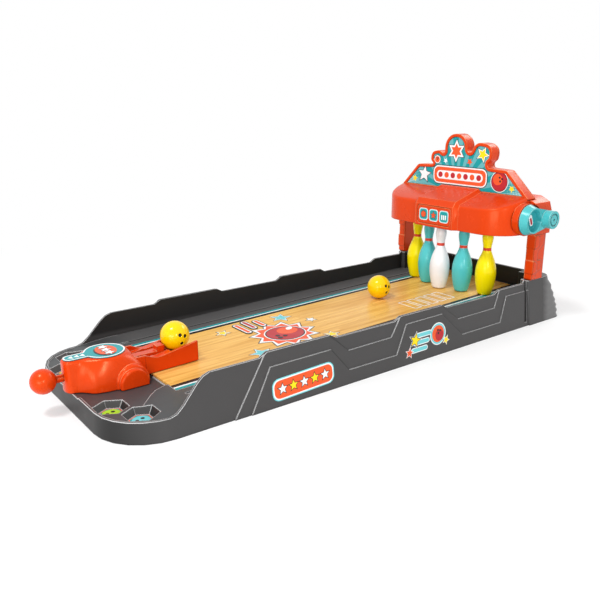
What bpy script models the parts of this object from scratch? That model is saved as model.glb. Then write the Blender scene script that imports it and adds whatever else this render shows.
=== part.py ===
# Tabletop bowling game
# A low tray carries a sloping wooden lane. A spring launcher swivels at the front, and
# five pins hang from a header at the rear, where a side crank turns the reset bail.
# Metres, +Z up, +Y along the lane towards the pins, +X the crank's side. The origin is
# the middle of the tray on the surface it stands on.

import math

import bmesh
import bpy
from mathutils import Matrix
from mathutils import Vector

MM = 0.001

# Fits shared by all pieces
GAP = 0.3 * MM
OVERRUN = 5 * MM
SKIN = 2 * MM
SCREW_RADIUS = 1.3 * MM
SCREW_HEAD_RADIUS = 2.6 * MM
SCREW_HEAD_HEIGHT = 1.6 * MM
SCREW_BITE = 8 * MM
SCREW_CROWN_SHARE = 0.7

# How glossy each kind of surface is
POLISHED = 0.2
GLOSSY = 0.3
SATIN = 0.5

# Tray
TRAY_LENGTH = 460 * MM
TRAY_WIDTH = 178 * MM
TRAY_DRAFT = 4 * MM
TRAY_WALL = 3.6 * MM
WALL_LOW = 38.8 * MM
WALL_HIGH = 42.1 * MM
REAR_HIGH = 44.5 * MM
FRONT_CORNER = 42 * MM
REAR_CORNER = 16 * MM
RELIEF_STEP = 0.8 * MM
DECK_HEIGHT = 14.2 * MM
LIP_RISE = 0.8 * MM
NOSE_NOTCH_HALF = 18 * MM
FLOOR_THICKNESS = 2 * MM
RISE_SETBACK = 39 * MM
RISE_LENGTH = 31 * MM
WALL_RAMP = 6 * MM
RAMP_SETBACK = 32 * MM
RIB_THICKNESS = 2.4 * MM
REST_RIB_WIDTH = 10 * MM
RIB_PLACE_SHARES = (-0.3, -0.15, 0.16, 0.31)
RAISED_SPAN_SHARES = ((0.252, 0.378), (0.539, 0.649), (0.817, 0.9))
UPPER_RELIEF_SHARES = (
    (0.181, -0.1), (0.249, 1.0), (0.249, 1.3), (0.375, 1.3), (0.375, 1.0),
    (0.415, 0.63), (0.515, 0.64), (0.538, 1.0), (0.538, 1.3), (0.646, 1.3),
    (0.646, 1.0), (0.692, 0.625), (0.802, 0.63), (0.818, 1.0), (0.818, 1.3),
    (1.02, 1.3), (1.02, -0.1),
)
LOWER_RELIEF_SHARES = (
    (0.211, -0.1), (0.255, 0.74), (0.376, 0.745), (0.413, 0.27), (0.525, 0.265),
    (0.551, 0.825), (0.646, 0.832), (0.702, 0.273), (0.819, 0.278), (0.838, 0.83),
    (1.02, 0.84), (1.02, -0.1),
)

# Lane
LANE_SETBACK = 61 * MM
LANE_LENGTH = 391 * MM
LANE_WIDTH = 104 * MM
LANE_THICKNESS = 1.8 * MM
LANE_MIDDLE_HEIGHT = 21 * MM
LANE_RISE_SHARE = 0.023
GROOVE_SPACING = 9 * MM
GROOVE_WIDTH = 2.4 * MM
GROOVE_DEPTH = 0.9 * MM

# Ball pockets in the front deck
POCKET_RADIUS = 12.4 * MM
POCKET_FLOOR_SHARE = 0.72
POCKET_DEPTH = 4.8 * MM
POCKET_WALL = 1.6 * MM
# Each pocket's distance in from the tray's side, then back from its front
POCKET_PLACES = ((45.2 * MM, 16 * MM), (23.6 * MM, 27.7 * MM))

# Corner towers that carry the posts
TOWER_WIDTH = 11.5 * MM
TOWER_PROUD = 1.2 * MM
TOWER_SETBACK = 42 * MM
TOWER_LENGTH = 24 * MM
TOWER_DRAFT = 3 * MM
TOWER_GROOVE = 4 * MM

# Ribbed bumpers that bulge out behind the towers
BUMPER_WIDTH = 31 * MM
BUMPER_ROUND = 13 * MM
BUMPER_RIBS = 6
BUMPER_RIB_DEPTH = 0.8 * MM
BUMPER_SLANT_SHARE = 0.35
# How far the bumper stands out behind the tray, in shares of the tray's width, by height
BUMPER_REACH_SHARES = (0.092, 0.09, 0.085, 0.074, 0.056, 0.03, -0.012)

# Posts
POST_HEIGHT = 44.5 * MM
POST_THICKNESS = 9.5 * MM
POST_SETBACK = 22 * MM
POST_DEPTH = 18 * MM
POST_RELIEF = 1.0 * MM
# How far in the foot screw stands from the post's outer side, in shares of its thickness
POST_SCREW_SHARE = 0.62
TENON_HEIGHT = 9 * MM
TENON_SETBACK = 2.2 * MM
FRONT_RELIEF_SHARES = (
    (-0.04, 1.0), (0.2, 1.0), (0.36, 0.95), (0.36, 0.75), (0.1, 0.7), (-0.04, 0.7),
)
LOW_RELIEF_SHARES = (
    (-0.04, 0.43), (0.1, 0.43), (0.32, 0.37), (0.32, 0.2), (0.12, 0.14), (-0.04, 0.14),
)
MIDDLE_RELIEF_SHARES = (
    (-0.02, 1.0), (0.72, 1.0), (0.8, 0.97), (0.8, 0.75), (0.4, 0.64), (0.36, 0.58),
    (0.36, 0.43), (0.75, 0.42), (0.75, 0.21), (0.32, 0.13), (0.3, 0.02), (-0.02, 0.02),
)

# Header
HEADER_END_INSET = 9 * MM
HEADER_FRONT = 80 * MM
HEADER_SEAM = 42 * MM
HEADER_REAR = 19 * MM
HEADER_END_ROUND = 30 * MM
WING_FRONT_RISE = 24 * MM
HEADER_RISE = 34.3 * MM
SIGN_SEAT_RISE = 31.6 * MM
DECK_RUN = 34 * MM
BLOCK_HALF = 28 * MM
BLOCK_PROUD = 4 * MM
BLOCK_RISE = 3.4 * MM
BLOCK_CHAMFER = 4.2 * MM
HEADER_BEVEL = 2.4 * MM
END_BLOCK_INSET = 0.4 * MM
END_BLOCK_WIDTH = 12.6 * MM
END_BLOCK_EDGE_RISE = 22 * MM
END_BLOCK_RISE = 29.5 * MM
END_BLOCK_STEP = 2.5 * MM
REAR_OPENING_RISE = 8 * MM
SEAM_BOSS_INSET = 10 * MM
SEAM_BOSS_RISE = 27 * MM
BOSS_RADIUS = 3.6 * MM
ICON_HALF = 21.5 * MM
ICON_RISE = 2.5 * MM
ICON_HEIGHT = 18.5 * MM
ICON_ROUND = 3.5 * MM
ICON_RECESS = 1.1 * MM
ICON_THICKNESS = 0.5 * MM

# Sign
SIGN_FRONT = 46 * MM
SIGN_DEPTH = 11.6 * MM
SIGN_END_INSET = 7.5 * MM
SIGN_HEIGHT = 57.3 * MM
SIGN_RIM = 3 * MM
SIGN_RECESS = 1.8 * MM
SIGN_PANEL = 0.9 * MM
SIGN_TAB_X = 50 * MM
SIGN_TAB_WIDTH = 12 * MM
SIGN_TAB_LENGTH = 3.2 * MM
SIGN_TAB_SETBACK = 1.8 * MM
SIGN_TAB_DROP = 6 * MM
SIGN_SCREW_SHARES = (0.6, 0.25)
# Corners of the sign's outline: across and up, in shares of half its width and of its
# height, then the corner's radius in shares of half its width
SIGN_OUTLINE_SHARES = (
    (-1.0, 0.0, 0.012), (1.0, 0.0, 0.012), (0.67, 0.442, 0.059), (0.324, 0.462, 0.039),
    (0.434, 0.592, 0.049), (0.473, 0.838, 0.116), (0.201, 0.878, 0.11),
    (0.079, 0.495, 0.042), (0.067, 1.0, 0.169), (-0.277, 1.0, 0.169),
    (-0.273, 0.622, 0.029), (-0.368, 0.703, 0.069), (-0.491, 0.666, 0.077),
    (-0.501, 0.514, 0.049), (-0.432, 0.447, 0.015), (-0.712, 0.428, 0.059),
)

# Pins
PIN_HEIGHT = 64 * MM
PIN_BELLY = 10.15 * MM
PIN_PITCH = 23 * MM
PIN_ROW_STEP = 7.6 * MM
PIN_SETBACK = 70.5 * MM
PIN_LIFT = 0.6 * MM
PIN_NECK_DROP = 4 * MM
EYE_RADIUS = 3 * MM
EYE_WIDTH = 4.6 * MM
AXLE_RADIUS = 0.9 * MM
PIN_STEPS = 18
PIN_PROFILE_SHARES = (
    (1.0, 0.22), (0.985, 0.33), (0.95, 0.46), (0.885, 0.53), (0.82, 0.49),
    (0.76, 0.42), (0.7, 0.395), (0.655, 0.45), (0.6, 0.59), (0.52, 0.79),
    (0.42, 0.95), (0.32, 1.0), (0.21, 0.955), (0.1, 0.83), (0.02, 0.7), (0.0, 0.64),
)

# Pin carrier
CARRIER_END_INSET = 11 * MM
CARRIER_RISE = 8.6 * MM
CARRIER_THICKNESS = 2.2 * MM
CARRIER_FRONT = 77 * MM
CARRIER_REAR = 51 * MM
EAR_THICKNESS = 1.6 * MM
CARRIER_SCREW_INSET = 20 * MM
CARRIER_SCREW_SETBACK = 66 * MM
CARRIER_ROUND = 22 * MM

# Reset shaft, bail and crank
SHAFT_RISE = 14.8 * MM
SHAFT_SETBACK = 50 * MM
SHAFT_RADIUS = 2 * MM
SHAFT_END_INSET = 0.5 * MM
SHAFT_REACH = 5.6 * MM
BUSH_RADIUS = 4 * MM
BUSH_FLANGE = 5.6 * MM
BUSH_FLANGE_WIDTH = 1.2 * MM
BUSH_FLANGE_SETBACK = 1 * MM
CLIP_RADIUS = 3.8 * MM
CLIP_WIDTH = 1.2 * MM
BAIL_END_INSET = 19 * MM
BAIL_TUBE = 3.3 * MM
BAIL_REACH = 25 * MM
BAIL_BAR = 1.5 * MM
BAIL_ARM_WIDTH = 3 * MM
BAIL_ARM_SHARES = (-2.5, -1.5, -0.5, 0.5, 1.5, 2.5)
BAIL_PARK = math.radians(5)
BAIL_ARM_DEPTH = 2.4 * MM
COLLAR_RADIUS = 15.2 * MM
COLLAR_REACH = 4.6 * MM
COLLAR_WALL = 1.8 * MM
HUB_RADIUS = 5.5 * MM
HUB_LENGTH = 3.4 * MM
CUP_BASE_RADIUS = 14.4 * MM
CUP_RIM_RADIUS = 11.9 * MM
CUP_LENGTH = 7.5 * MM
CUP_LIP = 1.5 * MM
CUP_RECESS = 5.4 * MM
CUP_CLEARANCE = 0.6 * MM
CUP_FLOOR_SHARE = 0.86
ARM_THICKNESS = 3.2 * MM
HANDLE_REACH = 18.5 * MM
HANDLE_RADIUS = 8.4 * MM
HANDLE_PROUD = 7.5 * MM
HANDLE_RING = 6 * MM
HANDLE_DIMPLE = 1.2 * MM
MARKER_SIZE = (3.2 * MM, 8.4 * MM, 1 * MM)
MARKER_ROUND = 1.4 * MM

# Launcher
PIVOT_SETBACK = 31 * MM
LAUNCHER_CLEARANCE = 0.4 * MM
LAUNCHER_TOP = 37.5 * MM
LAUNCHER_WALL = 2.2 * MM
LAUNCHER_DISC = 16 * MM
SIDE_BOSS_HALF = 25 * MM
SIDE_BOSS_RADIUS = 10.8 * MM
SIDE_BOSS_SETBACK = 43 * MM
SIDE_BOSS_HEIGHT = 17.4 * MM
SIDE_STEP_HALF = 21.4 * MM
SIDE_STEP_RADIUS = 13 * MM
# Stations round half of the launcher, nose to rear. Each has the place along and the
# half width of the flat top, then the same two of the foot, in shares of the disc's
# radius, measured from the pivot
LAUNCHER_STATION_SHARES = (
    (-1.96, 0.0, -1.96, 0.0), (-1.93, 0.2, -1.93, 0.22), (-1.78, 0.36, -1.8, 0.42),
    (-1.5, 0.4, -1.5, 0.64), (-1.19, 0.43, -1.12, 0.86), (-0.92, 0.54, -0.75, 1.06),
    (-0.68, 0.75, -0.38, 1.22), (-0.4, 0.92, 0.0, 1.29), (0.0, 1.0, 0.44, 1.31),
    (0.4, 0.92, 0.88, 1.31), (0.72, 0.7, 1.31, 1.26), (0.92, 0.4, 1.6, 0.94),
    (1.0, 0.0, 1.69, 0.0),
)
CHUTE_HALF = 14.4 * MM
FIN_THICKNESS = 2 * MM
CHUTE_END = 68.4 * MM
CHUTE_REST_HEIGHT = 25.9 * MM
BODY_REAR_SHARE = 0.2
SKIRT_REAR_SHARE = 0.4
TROUGH_REAR_SHARE = 0.7
SLOT_HALF = 4 * MM
STEP_HALF = 8.4 * MM
BALL_SEAT = 56.6 * MM
FIN_PROFILE_SHARES = (
    (0.2, 0.39), (0.2, 0.86), (0.37, 0.86), (0.44, 0.8), (0.51, 0.77), (0.57, 0.78),
    (1.0, 0.92), (1.0, 0.5), (0.4, 0.47), (0.36, 0.39),
)
CHUTE_FLOOR_SHARES = (
    (0.66, 1.3), (0.66, 0.86), (0.7, 0.765), (0.76, 0.712), (0.83, 0.69), (0.9, 0.715),
    (1.03, 0.5), (1.03, 1.3),
)
TROUGH_SLOPE_SHARE = 0.17
STEP_DROP = 2.6 * MM
TROUGH_TOP = 31.4 * MM
LABEL_THICKNESS = 0.5 * MM
LABEL_MARGIN = 1.3 * MM
BASE_THICKNESS = 1.8 * MM
BASE_SCREW_PLACE = (16 * MM, 12 * MM)
PIVOT_BOSS = 5.2 * MM
WASHER_RADIUS = 9 * MM
WASHER_THICKNESS = 1.5 * MM
STOP_REACH = 20 * MM
STOP_RADIUS = 2 * MM
SWIVEL_LIMIT = math.radians(12)
WELL_SHARES = (
    (0.62, 1.02), (0.6, 0.87), (0.635, 0.6), (0.7, 0.42), (0.87, 0.08), (0.95, -0.3),
)
WELL_REACH = 64 * MM

# Plunger
ROD_RADIUS = 2.6 * MM
ROD_WEB = 1.7 * MM
PLUNGER_HEIGHT = 25 * MM
KNOB_RADIUS = 9 * MM
KNOB_FLAT_SHARE = 0.86
KNOB_SETBACK = 14 * MM
SOCKET_DEPTH = 5 * MM
SLIDER_START = 44.6 * MM
SLIDER_HALF = 3.6 * MM
SLIDER_DROP = 4 * MM
SLIDER_RISE = 4.4 * MM
STRIKER_FACE = 76.4 * MM
STRIKER_LENGTH = 6 * MM
STRIKER_RISE = 8.4 * MM
SPRING_RADIUS = 4.3 * MM
SPRING_WIRE = 0.45 * MM
SPRING_TURNS = 8
SPRING_START = 7.4 * MM
SPRING_POINTS = 9

# Balls
BALL_RADIUS = 11.3 * MM
FINGER_RADIUS = 1.05 * MM
FINGER_DEPTH = 2 * MM
FINGER_WAY_SHARES = ((0.958, -0.07, 0.277), (0.94, 0.31, 0.14), (0.943, 0.04, -0.331))
LANE_BALL_PLACE = (-13.2 * MM, 87 * MM)

# Smoothness
ROUND_STEPS = 24
SMALL_STEPS = 10
CORNER_STEPS = 6

# The least turn between two faces that are told apart
PLANE_LIMIT = math.radians(0.5)

# The least turn between two faces whose edge is bevelled
BEVEL_LIMIT = math.radians(25)

# Places that follow from the sizes
FRONT_Y = -TRAY_LENGTH / 2
REAR_Y = TRAY_LENGTH / 2
LANE_FRONT_Y = FRONT_Y + LANE_SETBACK
PIVOT_Y = FRONT_Y + PIVOT_SETBACK
PIN_Y = REAR_Y - PIN_SETBACK
SHAFT_Y = REAR_Y - SHAFT_SETBACK
SEAM_Y = REAR_Y - HEADER_SEAM
WING_Y = REAR_Y - HEADER_FRONT
HEADER_REAR_Y = REAR_Y - HEADER_REAR
SIGN_Y = REAR_Y - SIGN_FRONT
POST_Y = REAR_Y - POST_SETBACK - POST_DEPTH
SKIRT_Z = DECK_HEIGHT + LAUNCHER_CLEARANCE
STRIKER_Y = FRONT_Y + STRIKER_FACE
SIDE_X = TRAY_WIDTH / 2
TOWER_INNER = SIDE_X - TOWER_WIDTH
BUMPER_INNER = SIDE_X - BUMPER_WIDTH
POST_OUTER = SIDE_X
HEADER_HALF = POST_OUTER - HEADER_END_INSET
END_BLOCK_OUTER = POST_OUTER - END_BLOCK_INSET
END_BLOCK_WALL = END_BLOCK_OUTER - END_BLOCK_WIDTH
SIGN_HALF = POST_OUTER - SIGN_END_INSET
CARRIER_HALF = HEADER_HALF - CARRIER_END_INSET
BAIL_HALF = HEADER_HALF - BAIL_END_INSET
SHAFT_LEFT = HEADER_HALF - SHAFT_END_INSET
SHAFT_RIGHT = HEADER_HALF + SHAFT_REACH
HEADER_BOTTOM = REAR_HIGH + POST_HEIGHT
WING_FRONT_HEIGHT = HEADER_BOTTOM + WING_FRONT_RISE
HEADER_TOP = HEADER_BOTTOM + HEADER_RISE
SIGN_SEAT = HEADER_BOTTOM + SIGN_SEAT_RISE
END_BLOCK_EDGE = HEADER_BOTTOM + END_BLOCK_EDGE_RISE
END_BLOCK_TOP = HEADER_BOTTOM + END_BLOCK_RISE
REAR_OPENING_TOP = HEADER_BOTTOM + REAR_OPENING_RISE
ICON_BOTTOM = HEADER_BOTTOM + ICON_RISE
ICON_TOP = ICON_BOTTOM + ICON_HEIGHT
CARRIER_BOTTOM = HEADER_BOTTOM + CARRIER_RISE
SHAFT_HEIGHT = HEADER_BOTTOM + SHAFT_RISE
SEAM_BOSS_PLACE = (HEADER_HALF - SEAM_BOSS_INSET, HEADER_BOTTOM + SEAM_BOSS_RISE)

ALONG_X = Matrix(((0, 0, 1, 0), (1, 0, 0, 0), (0, 1, 0, 0), (0, 0, 0, 1)))
ALONG_Y = Matrix(((1, 0, 0, 0), (0, 0, -1, 0), (0, 1, 0, 0), (0, 0, 0, 1)))
ALONG_Z = Matrix.Identity(4)


def clear_scene():
    for obj in list(bpy.data.objects):
        bpy.data.objects.remove(obj, do_unlink=True)


def make_collection(name):
    group = bpy.data.collections.new(name)
    bpy.context.scene.collection.children.link(group)
    return group


def finish(name, colour, roughness, metallic=0.0):
    made = bpy.data.materials.new(name)
    made.use_nodes = True
    shader = made.node_tree.nodes["Principled BSDF"]
    shader.inputs["Base Color"].default_value = (*colour, 1.0)
    shader.inputs["Roughness"].default_value = roughness
    shader.inputs["Metallic"].default_value = metallic
    return made


CHARCOAL = (0.1, 0.098, 0.1)
ORANGE = (0.82, 0.055, 0.006)
TEAL = (0.09, 0.5, 0.52)
TEAL_PRINT = (0.0, 0.3, 0.33)
WOOD = (0.75, 0.4, 0.12)
YELLOW = (0.93, 0.72, 0.01)
WHITE = (0.85, 0.85, 0.85)
STEEL = (0.6, 0.6, 0.62)


def add_object(name, mesh, group):
    obj = bpy.data.objects.new(name, mesh)
    group.objects.link(obj)
    return obj


def tool_object(name, mesh):
    obj = add_object(name, mesh, TOOLS)
    obj.hide_render = True
    obj.display_type = "WIRE"
    return obj


def piece_object(name, mesh, colour, roughness=GLOSSY, metallic=0.0):
    obj = add_object(name, mesh, PARTS)
    obj.data.materials.append(finish(name + "_finish", colour, roughness, metallic))
    return obj


def mesh_from(bm, name):
    bmesh.ops.recalc_face_normals(bm, faces=bm.faces)
    mesh = bpy.data.meshes.new(name)
    bm.to_mesh(mesh)
    bm.free()
    return mesh


def box_mesh(low, high, name="box"):
    low = Vector(low)
    size = Vector(high) - low
    bm = bmesh.new()
    bmesh.ops.create_cube(bm, size=1)
    bmesh.ops.transform(bm, matrix=Matrix.Diagonal((*size, 1)), verts=bm.verts)
    bmesh.ops.translate(bm, vec=low + size / 2, verts=bm.verts)
    return mesh_from(bm, name)


def rod_mesh(start, end, radius, end_radius=None, steps=ROUND_STEPS, name="rod"):
    start = Vector(start)
    run = Vector(end) - start
    top = radius if end_radius is None else end_radius
    bm = bmesh.new()
    bmesh.ops.create_cone(bm, cap_ends=True, segments=steps, radius1=radius,
                          radius2=top, depth=run.length)
    turn = run.to_track_quat("Z", "Y").to_matrix().to_4x4()
    place = Matrix.Translation(start + run / 2) @ turn
    bmesh.ops.transform(bm, matrix=place, verts=bm.verts)
    return mesh_from(bm, name)


def plate_mesh(outline, low, high, place=ALONG_Z, name="plate"):
    """A flat outline, extruded from low to high along the place's third axis."""
    curve = bpy.data.curves.new(name, "CURVE")
    curve.dimensions = "2D"
    curve.fill_mode = "BOTH"
    curve.extrude = (high - low) / 2
    spline = curve.splines.new("POLY")
    spline.points.add(len(outline) - 1)
    for point, (x, y) in zip(spline.points, outline):
        point.co = (x, y, 0, 1)
    spline.use_cyclic_u = True
    guide = add_object(name, curve, TOOLS)
    bpy.context.view_layer.update()
    solid = guide.evaluated_get(bpy.context.evaluated_depsgraph_get())
    mesh = bpy.data.meshes.new_from_object(solid)
    bpy.data.objects.remove(guide, do_unlink=True)
    bm = bmesh.new()
    bm.from_mesh(mesh)
    bmesh.ops.remove_doubles(bm, verts=bm.verts, dist=GAP / 30)
    middle = Matrix.Translation((0, 0, (high + low) / 2))
    bmesh.ops.transform(bm, matrix=place @ middle, verts=bm.verts)
    bmesh.ops.dissolve_limit(bm, angle_limit=math.radians(1), verts=bm.verts,
                             edges=bm.edges)
    return mesh_from(bm, name)


def loft_mesh(rings, name="loft"):
    """A closed solid through rings that each have the same number of points."""
    bm = bmesh.new()
    rows = [[bm.verts.new(point) for point in ring] for ring in rings]
    count = len(rows[0])
    for lower, upper in zip(rows, rows[1:]):
        for k in range(count):
            following = (k + 1) % count
            bm.faces.new((lower[k], lower[following], upper[following], upper[k]))
    bm.faces.new(list(reversed(rows[0])))
    bm.faces.new(rows[-1])
    bmesh.ops.connect_verts_nonplanar(bm, angle_limit=PLANE_LIMIT, faces=bm.faces)
    return mesh_from(bm, name)


def turned_object(name, profile, place, group, steps=ROUND_STEPS):
    """A profile of (radius, height) points, top to bottom, turned about local Z."""
    bm = bmesh.new()
    verts = [bm.verts.new((radius, 0, height)) for radius, height in profile]
    for first, second in zip(verts, verts[1:]):
        bm.edges.new((first, second))
    mesh = bpy.data.meshes.new(name)
    bm.to_mesh(mesh)
    bm.free()
    obj = add_object(name, mesh, group)
    obj.matrix_world = place
    turn = obj.modifiers.new("Turn", "SCREW")
    turn.axis = "Z"
    turn.steps = steps
    turn.render_steps = steps
    turn.use_merge_vertices = True
    turn.merge_threshold = GAP / 30
    turn.use_smooth_shade = False
    return obj


def turned_mesh(profile, place, steps=ROUND_STEPS, name="turned"):
    guide = turned_object(name, profile, place, TOOLS, steps)
    bpy.context.view_layer.update()
    solid = guide.evaluated_get(bpy.context.evaluated_depsgraph_get())
    mesh = bpy.data.meshes.new_from_object(solid)
    bpy.data.objects.remove(guide, do_unlink=True)
    bm = bmesh.new()
    bm.from_mesh(mesh)
    bmesh.ops.remove_doubles(bm, verts=bm.verts, dist=GAP / 30)
    bmesh.ops.transform(bm, matrix=place, verts=bm.verts)
    return mesh_from(bm, name)


def combine(obj, mesh, operation):
    tool = tool_object(obj.name + "_" + operation.lower(), mesh)
    step = obj.modifiers.new(operation.title(), "BOOLEAN")
    step.operation = operation
    step.solver = "EXACT"
    step.object = tool
    return tool


def cut(obj, mesh):
    return combine(obj, mesh, "DIFFERENCE")


def join(obj, mesh):
    return combine(obj, mesh, "UNION")


def keep(obj, mesh):
    return combine(obj, mesh, "INTERSECT")


def bevel(obj, width, segments):
    edge = obj.modifiers.new("Edges", "BEVEL")
    edge.width = width
    edge.segments = segments
    edge.limit_method = "ANGLE"
    edge.angle_limit = BEVEL_LIMIT
    edge.use_clamp_overlap = True
    return edge


def baked(obj):
    """The mesh that an object shows with its modifiers, in world space."""
    bpy.context.view_layer.update()
    solid = obj.evaluated_get(bpy.context.evaluated_depsgraph_get())
    mesh = bpy.data.meshes.new_from_object(solid)
    mesh.transform(obj.matrix_world)
    return mesh


def rounded(corners, steps=CORNER_STEPS):
    """Points of an outline whose corners are (across, along, radius)."""
    points = []
    count = len(corners)
    for k, (x, y, radius) in enumerate(corners):
        here = Vector((x, y))
        back = Vector(corners[k - 1][:2]) - here
        ahead = Vector(corners[(k + 1) % count][:2]) - here
        back.normalize()
        ahead.normalize()
        opening = back.angle(ahead)
        if radius <= 0 or opening > math.radians(176):
            points.append((x, y))
            continue
        reach = radius / math.tan(opening / 2)
        centre = here + (back + ahead).normalized() * (radius / math.sin(opening / 2))
        first = here + back * reach - centre
        sweep = math.pi - opening
        side = 1 if back.x * ahead.y - back.y * ahead.x < 0 else -1
        for j in range(steps + 1):
            angle = side * sweep * j / steps
            turn = Matrix.Rotation(angle, 2)
            points.append(tuple(centre + turn @ first))
    return points


def inset_corners(corners, inset):
    """The corners of an anticlockwise outline, drawn in by inset, arcs kept true."""
    count = len(corners)
    drawn = []
    for k, (x, y, radius) in enumerate(corners):
        here = Vector((x, y))
        back = (here - Vector(corners[k - 1][:2])).normalized()
        ahead = (Vector(corners[(k + 1) % count][:2]) - here).normalized()
        normal_back = Vector((-back.y, back.x))
        normal_ahead = Vector((-ahead.y, ahead.x))
        middle = normal_back + normal_ahead
        shift = middle * (inset / (1 + normal_back.dot(normal_ahead)))
        convex = back.x * ahead.y - back.y * ahead.x > 0
        kept = radius - inset if convex else radius + inset
        drawn.append((x + shift.x, y + shift.y, max(kept, 0)))
    return drawn


def smooth_rise(share):
    return share * share * (3 - 2 * share)


def lean(height):
    """How far the tray's outer wall has leaned in at a height."""
    return TRAY_DRAFT * height / REAR_HIGH


def lane_top(y):
    return LANE_MIDDLE_HEIGHT + LANE_RISE_SHARE * y


def tray_ring(inset, height):
    half_x = TRAY_WIDTH / 2 - inset
    half_y = TRAY_LENGTH / 2 - inset
    front = FRONT_CORNER - inset
    rear = REAR_CORNER - inset
    corners = ((-half_x, -half_y, front), (half_x, -half_y, front),
               (half_x, half_y, rear), (-half_x, half_y, rear))
    return [(x, y, height) for x, y in rounded(corners)]


def tray_shell(inset, bottom, top):
    rings = (tray_ring(inset + lean(bottom), bottom), tray_ring(inset + lean(top), top))
    return loft_mesh(rings)


def side_prism(points, half=TRAY_WIDTH):
    """A solid through the whole width whose outline is in (along, up)."""
    return plate_mesh(points, -half, half, ALONG_X)


def relief_band(shares, inset):
    points = [(FRONT_Y + TRAY_LENGTH * a, WALL_HIGH * b) for a, b in shares]
    band = tool_object("relief_band", tray_shell(inset, 0, REAR_HIGH))
    keep(band, side_prism(points))
    return baked(band)


def wall_top_cutter():
    rise_y = FRONT_Y + RISE_SETBACK
    lip = DECK_HEIGHT + LIP_RISE
    points = [(FRONT_Y - OVERRUN, lip)]
    for k in range(CORNER_STEPS + 1):
        share = k / CORNER_STEPS
        height = lip + (WALL_LOW - lip) * smooth_rise(share)
        points.append((rise_y + RISE_LENGTH * share, height))
    for first, last in RAISED_SPAN_SHARES:
        start = FRONT_Y + TRAY_LENGTH * first
        end = FRONT_Y + TRAY_LENGTH * last
        points.append((start - WALL_RAMP, WALL_LOW))
        points.append((start, WALL_HIGH))
        if (first, last) == RAISED_SPAN_SHARES[-1]:
            points.append((end, WALL_HIGH))
            points.append((end + WALL_RAMP, REAR_HIGH + OVERRUN))
        else:
            points.append((end, WALL_HIGH))
            points.append((end + WALL_RAMP, WALL_LOW))
    points.append((FRONT_Y - OVERRUN, REAR_HIGH + OVERRUN))
    return side_prism(points)


def floor_profile(drop=0.0):
    """The tray's floor from front to rear, as (along, up) points."""
    ramp_y = FRONT_Y + RAMP_SETBACK
    return [(FRONT_Y - OVERRUN, DECK_HEIGHT - drop), (ramp_y, DECK_HEIGHT - drop),
            (LANE_FRONT_Y, lane_top(LANE_FRONT_Y) - drop),
            (REAR_Y + OVERRUN, lane_top(REAR_Y + OVERRUN) - drop)]


def tray_cavity():
    points = floor_profile()
    points.append((REAR_Y + OVERRUN, REAR_HIGH + 2 * OVERRUN))
    points.append((FRONT_Y - OVERRUN, REAR_HIGH + 2 * OVERRUN))
    cavity = tool_object("cavity", tray_shell(TRAY_WALL, 0, REAR_HIGH + OVERRUN))
    keep(cavity, side_prism(points))
    return baked(cavity)


def pocket_corner_ring(centre, radius, height):
    x, y = centre
    return [(x + radius * math.cos(k * math.pi / 3),
             y + radius * math.sin(k * math.pi / 3), height) for k in range(6)]


def pocket_solid(centre, extra, floor, top):
    """A six-sided pocket that narrows downwards, or the cup round it."""
    depth = top - floor
    slope = POCKET_RADIUS * (1 - POCKET_FLOOR_SHARE) / POCKET_DEPTH
    low = POCKET_RADIUS - slope * (DECK_HEIGHT - floor) + extra
    high = low + slope * depth
    return loft_mesh((pocket_corner_ring(centre, low, floor),
                      pocket_corner_ring(centre, high, top)))


def pocket_centres():
    return [(side * (SIDE_X - inset), FRONT_Y + setback) for inset, setback in POCKET_PLACES
            for side in (-1, 1)]


def tower_rings(side, grow, top):
    """Rings of a corner tower, which widens towards its foot."""
    rings = []
    for height in (0, top):
        foot = TOWER_DRAFT * (1 - height / REAR_HIGH)
        outer = TRAY_WIDTH / 2 - lean(height) + TOWER_PROUD
        front = REAR_Y - TOWER_SETBACK + foot + grow
        rear = front + TOWER_LENGTH - 2 * grow
        low_x = side * (TOWER_INNER + grow)
        high_x = side * (outer - grow)
        ring = [(low_x, front, height), (high_x, front, height),
                (high_x, rear, height), (low_x, rear, height)]
        rings.append(ring if side > 0 else list(reversed(ring)))
    return rings


def bumper_mesh(side):
    """A corner bumper whose slanted ribs stand out between narrower grooves."""
    rings = []
    front = REAR_Y - TOWER_SETBACK + TOWER_LENGTH - GAP
    levels = 2 * BUMPER_RIBS
    for k in range(levels + 1):
        share = k / levels
        place = share * (len(BUMPER_REACH_SHARES) - 1)
        low = min(int(place), len(BUMPER_REACH_SHARES) - 2)
        reach = BUMPER_REACH_SHARES[low]
        reach += (BUMPER_REACH_SHARES[low + 1] - reach) * (place - low)
        drawn = BUMPER_RIB_DEPTH * (k % 2)
        height = REAR_HIGH * share
        outer = TRAY_WIDTH / 2 - lean(height) + TOWER_PROUD - drawn
        rear = REAR_Y + TRAY_WIDTH * reach - drawn
        corners = ((BUMPER_INNER + drawn, front, 0), (outer, front, 0),
                   (outer, rear, BUMPER_ROUND), (BUMPER_INNER + drawn, rear,
                                                 BUMPER_ROUND / 2))
        slant = BUMPER_SLANT_SHARE * 4 * share * share * (1 - share)
        ring = [(side * x, y, height - slant * (y - front)) for x, y in rounded(corners)]
        rings.append(ring)
    return loft_mesh(rings)


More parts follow.
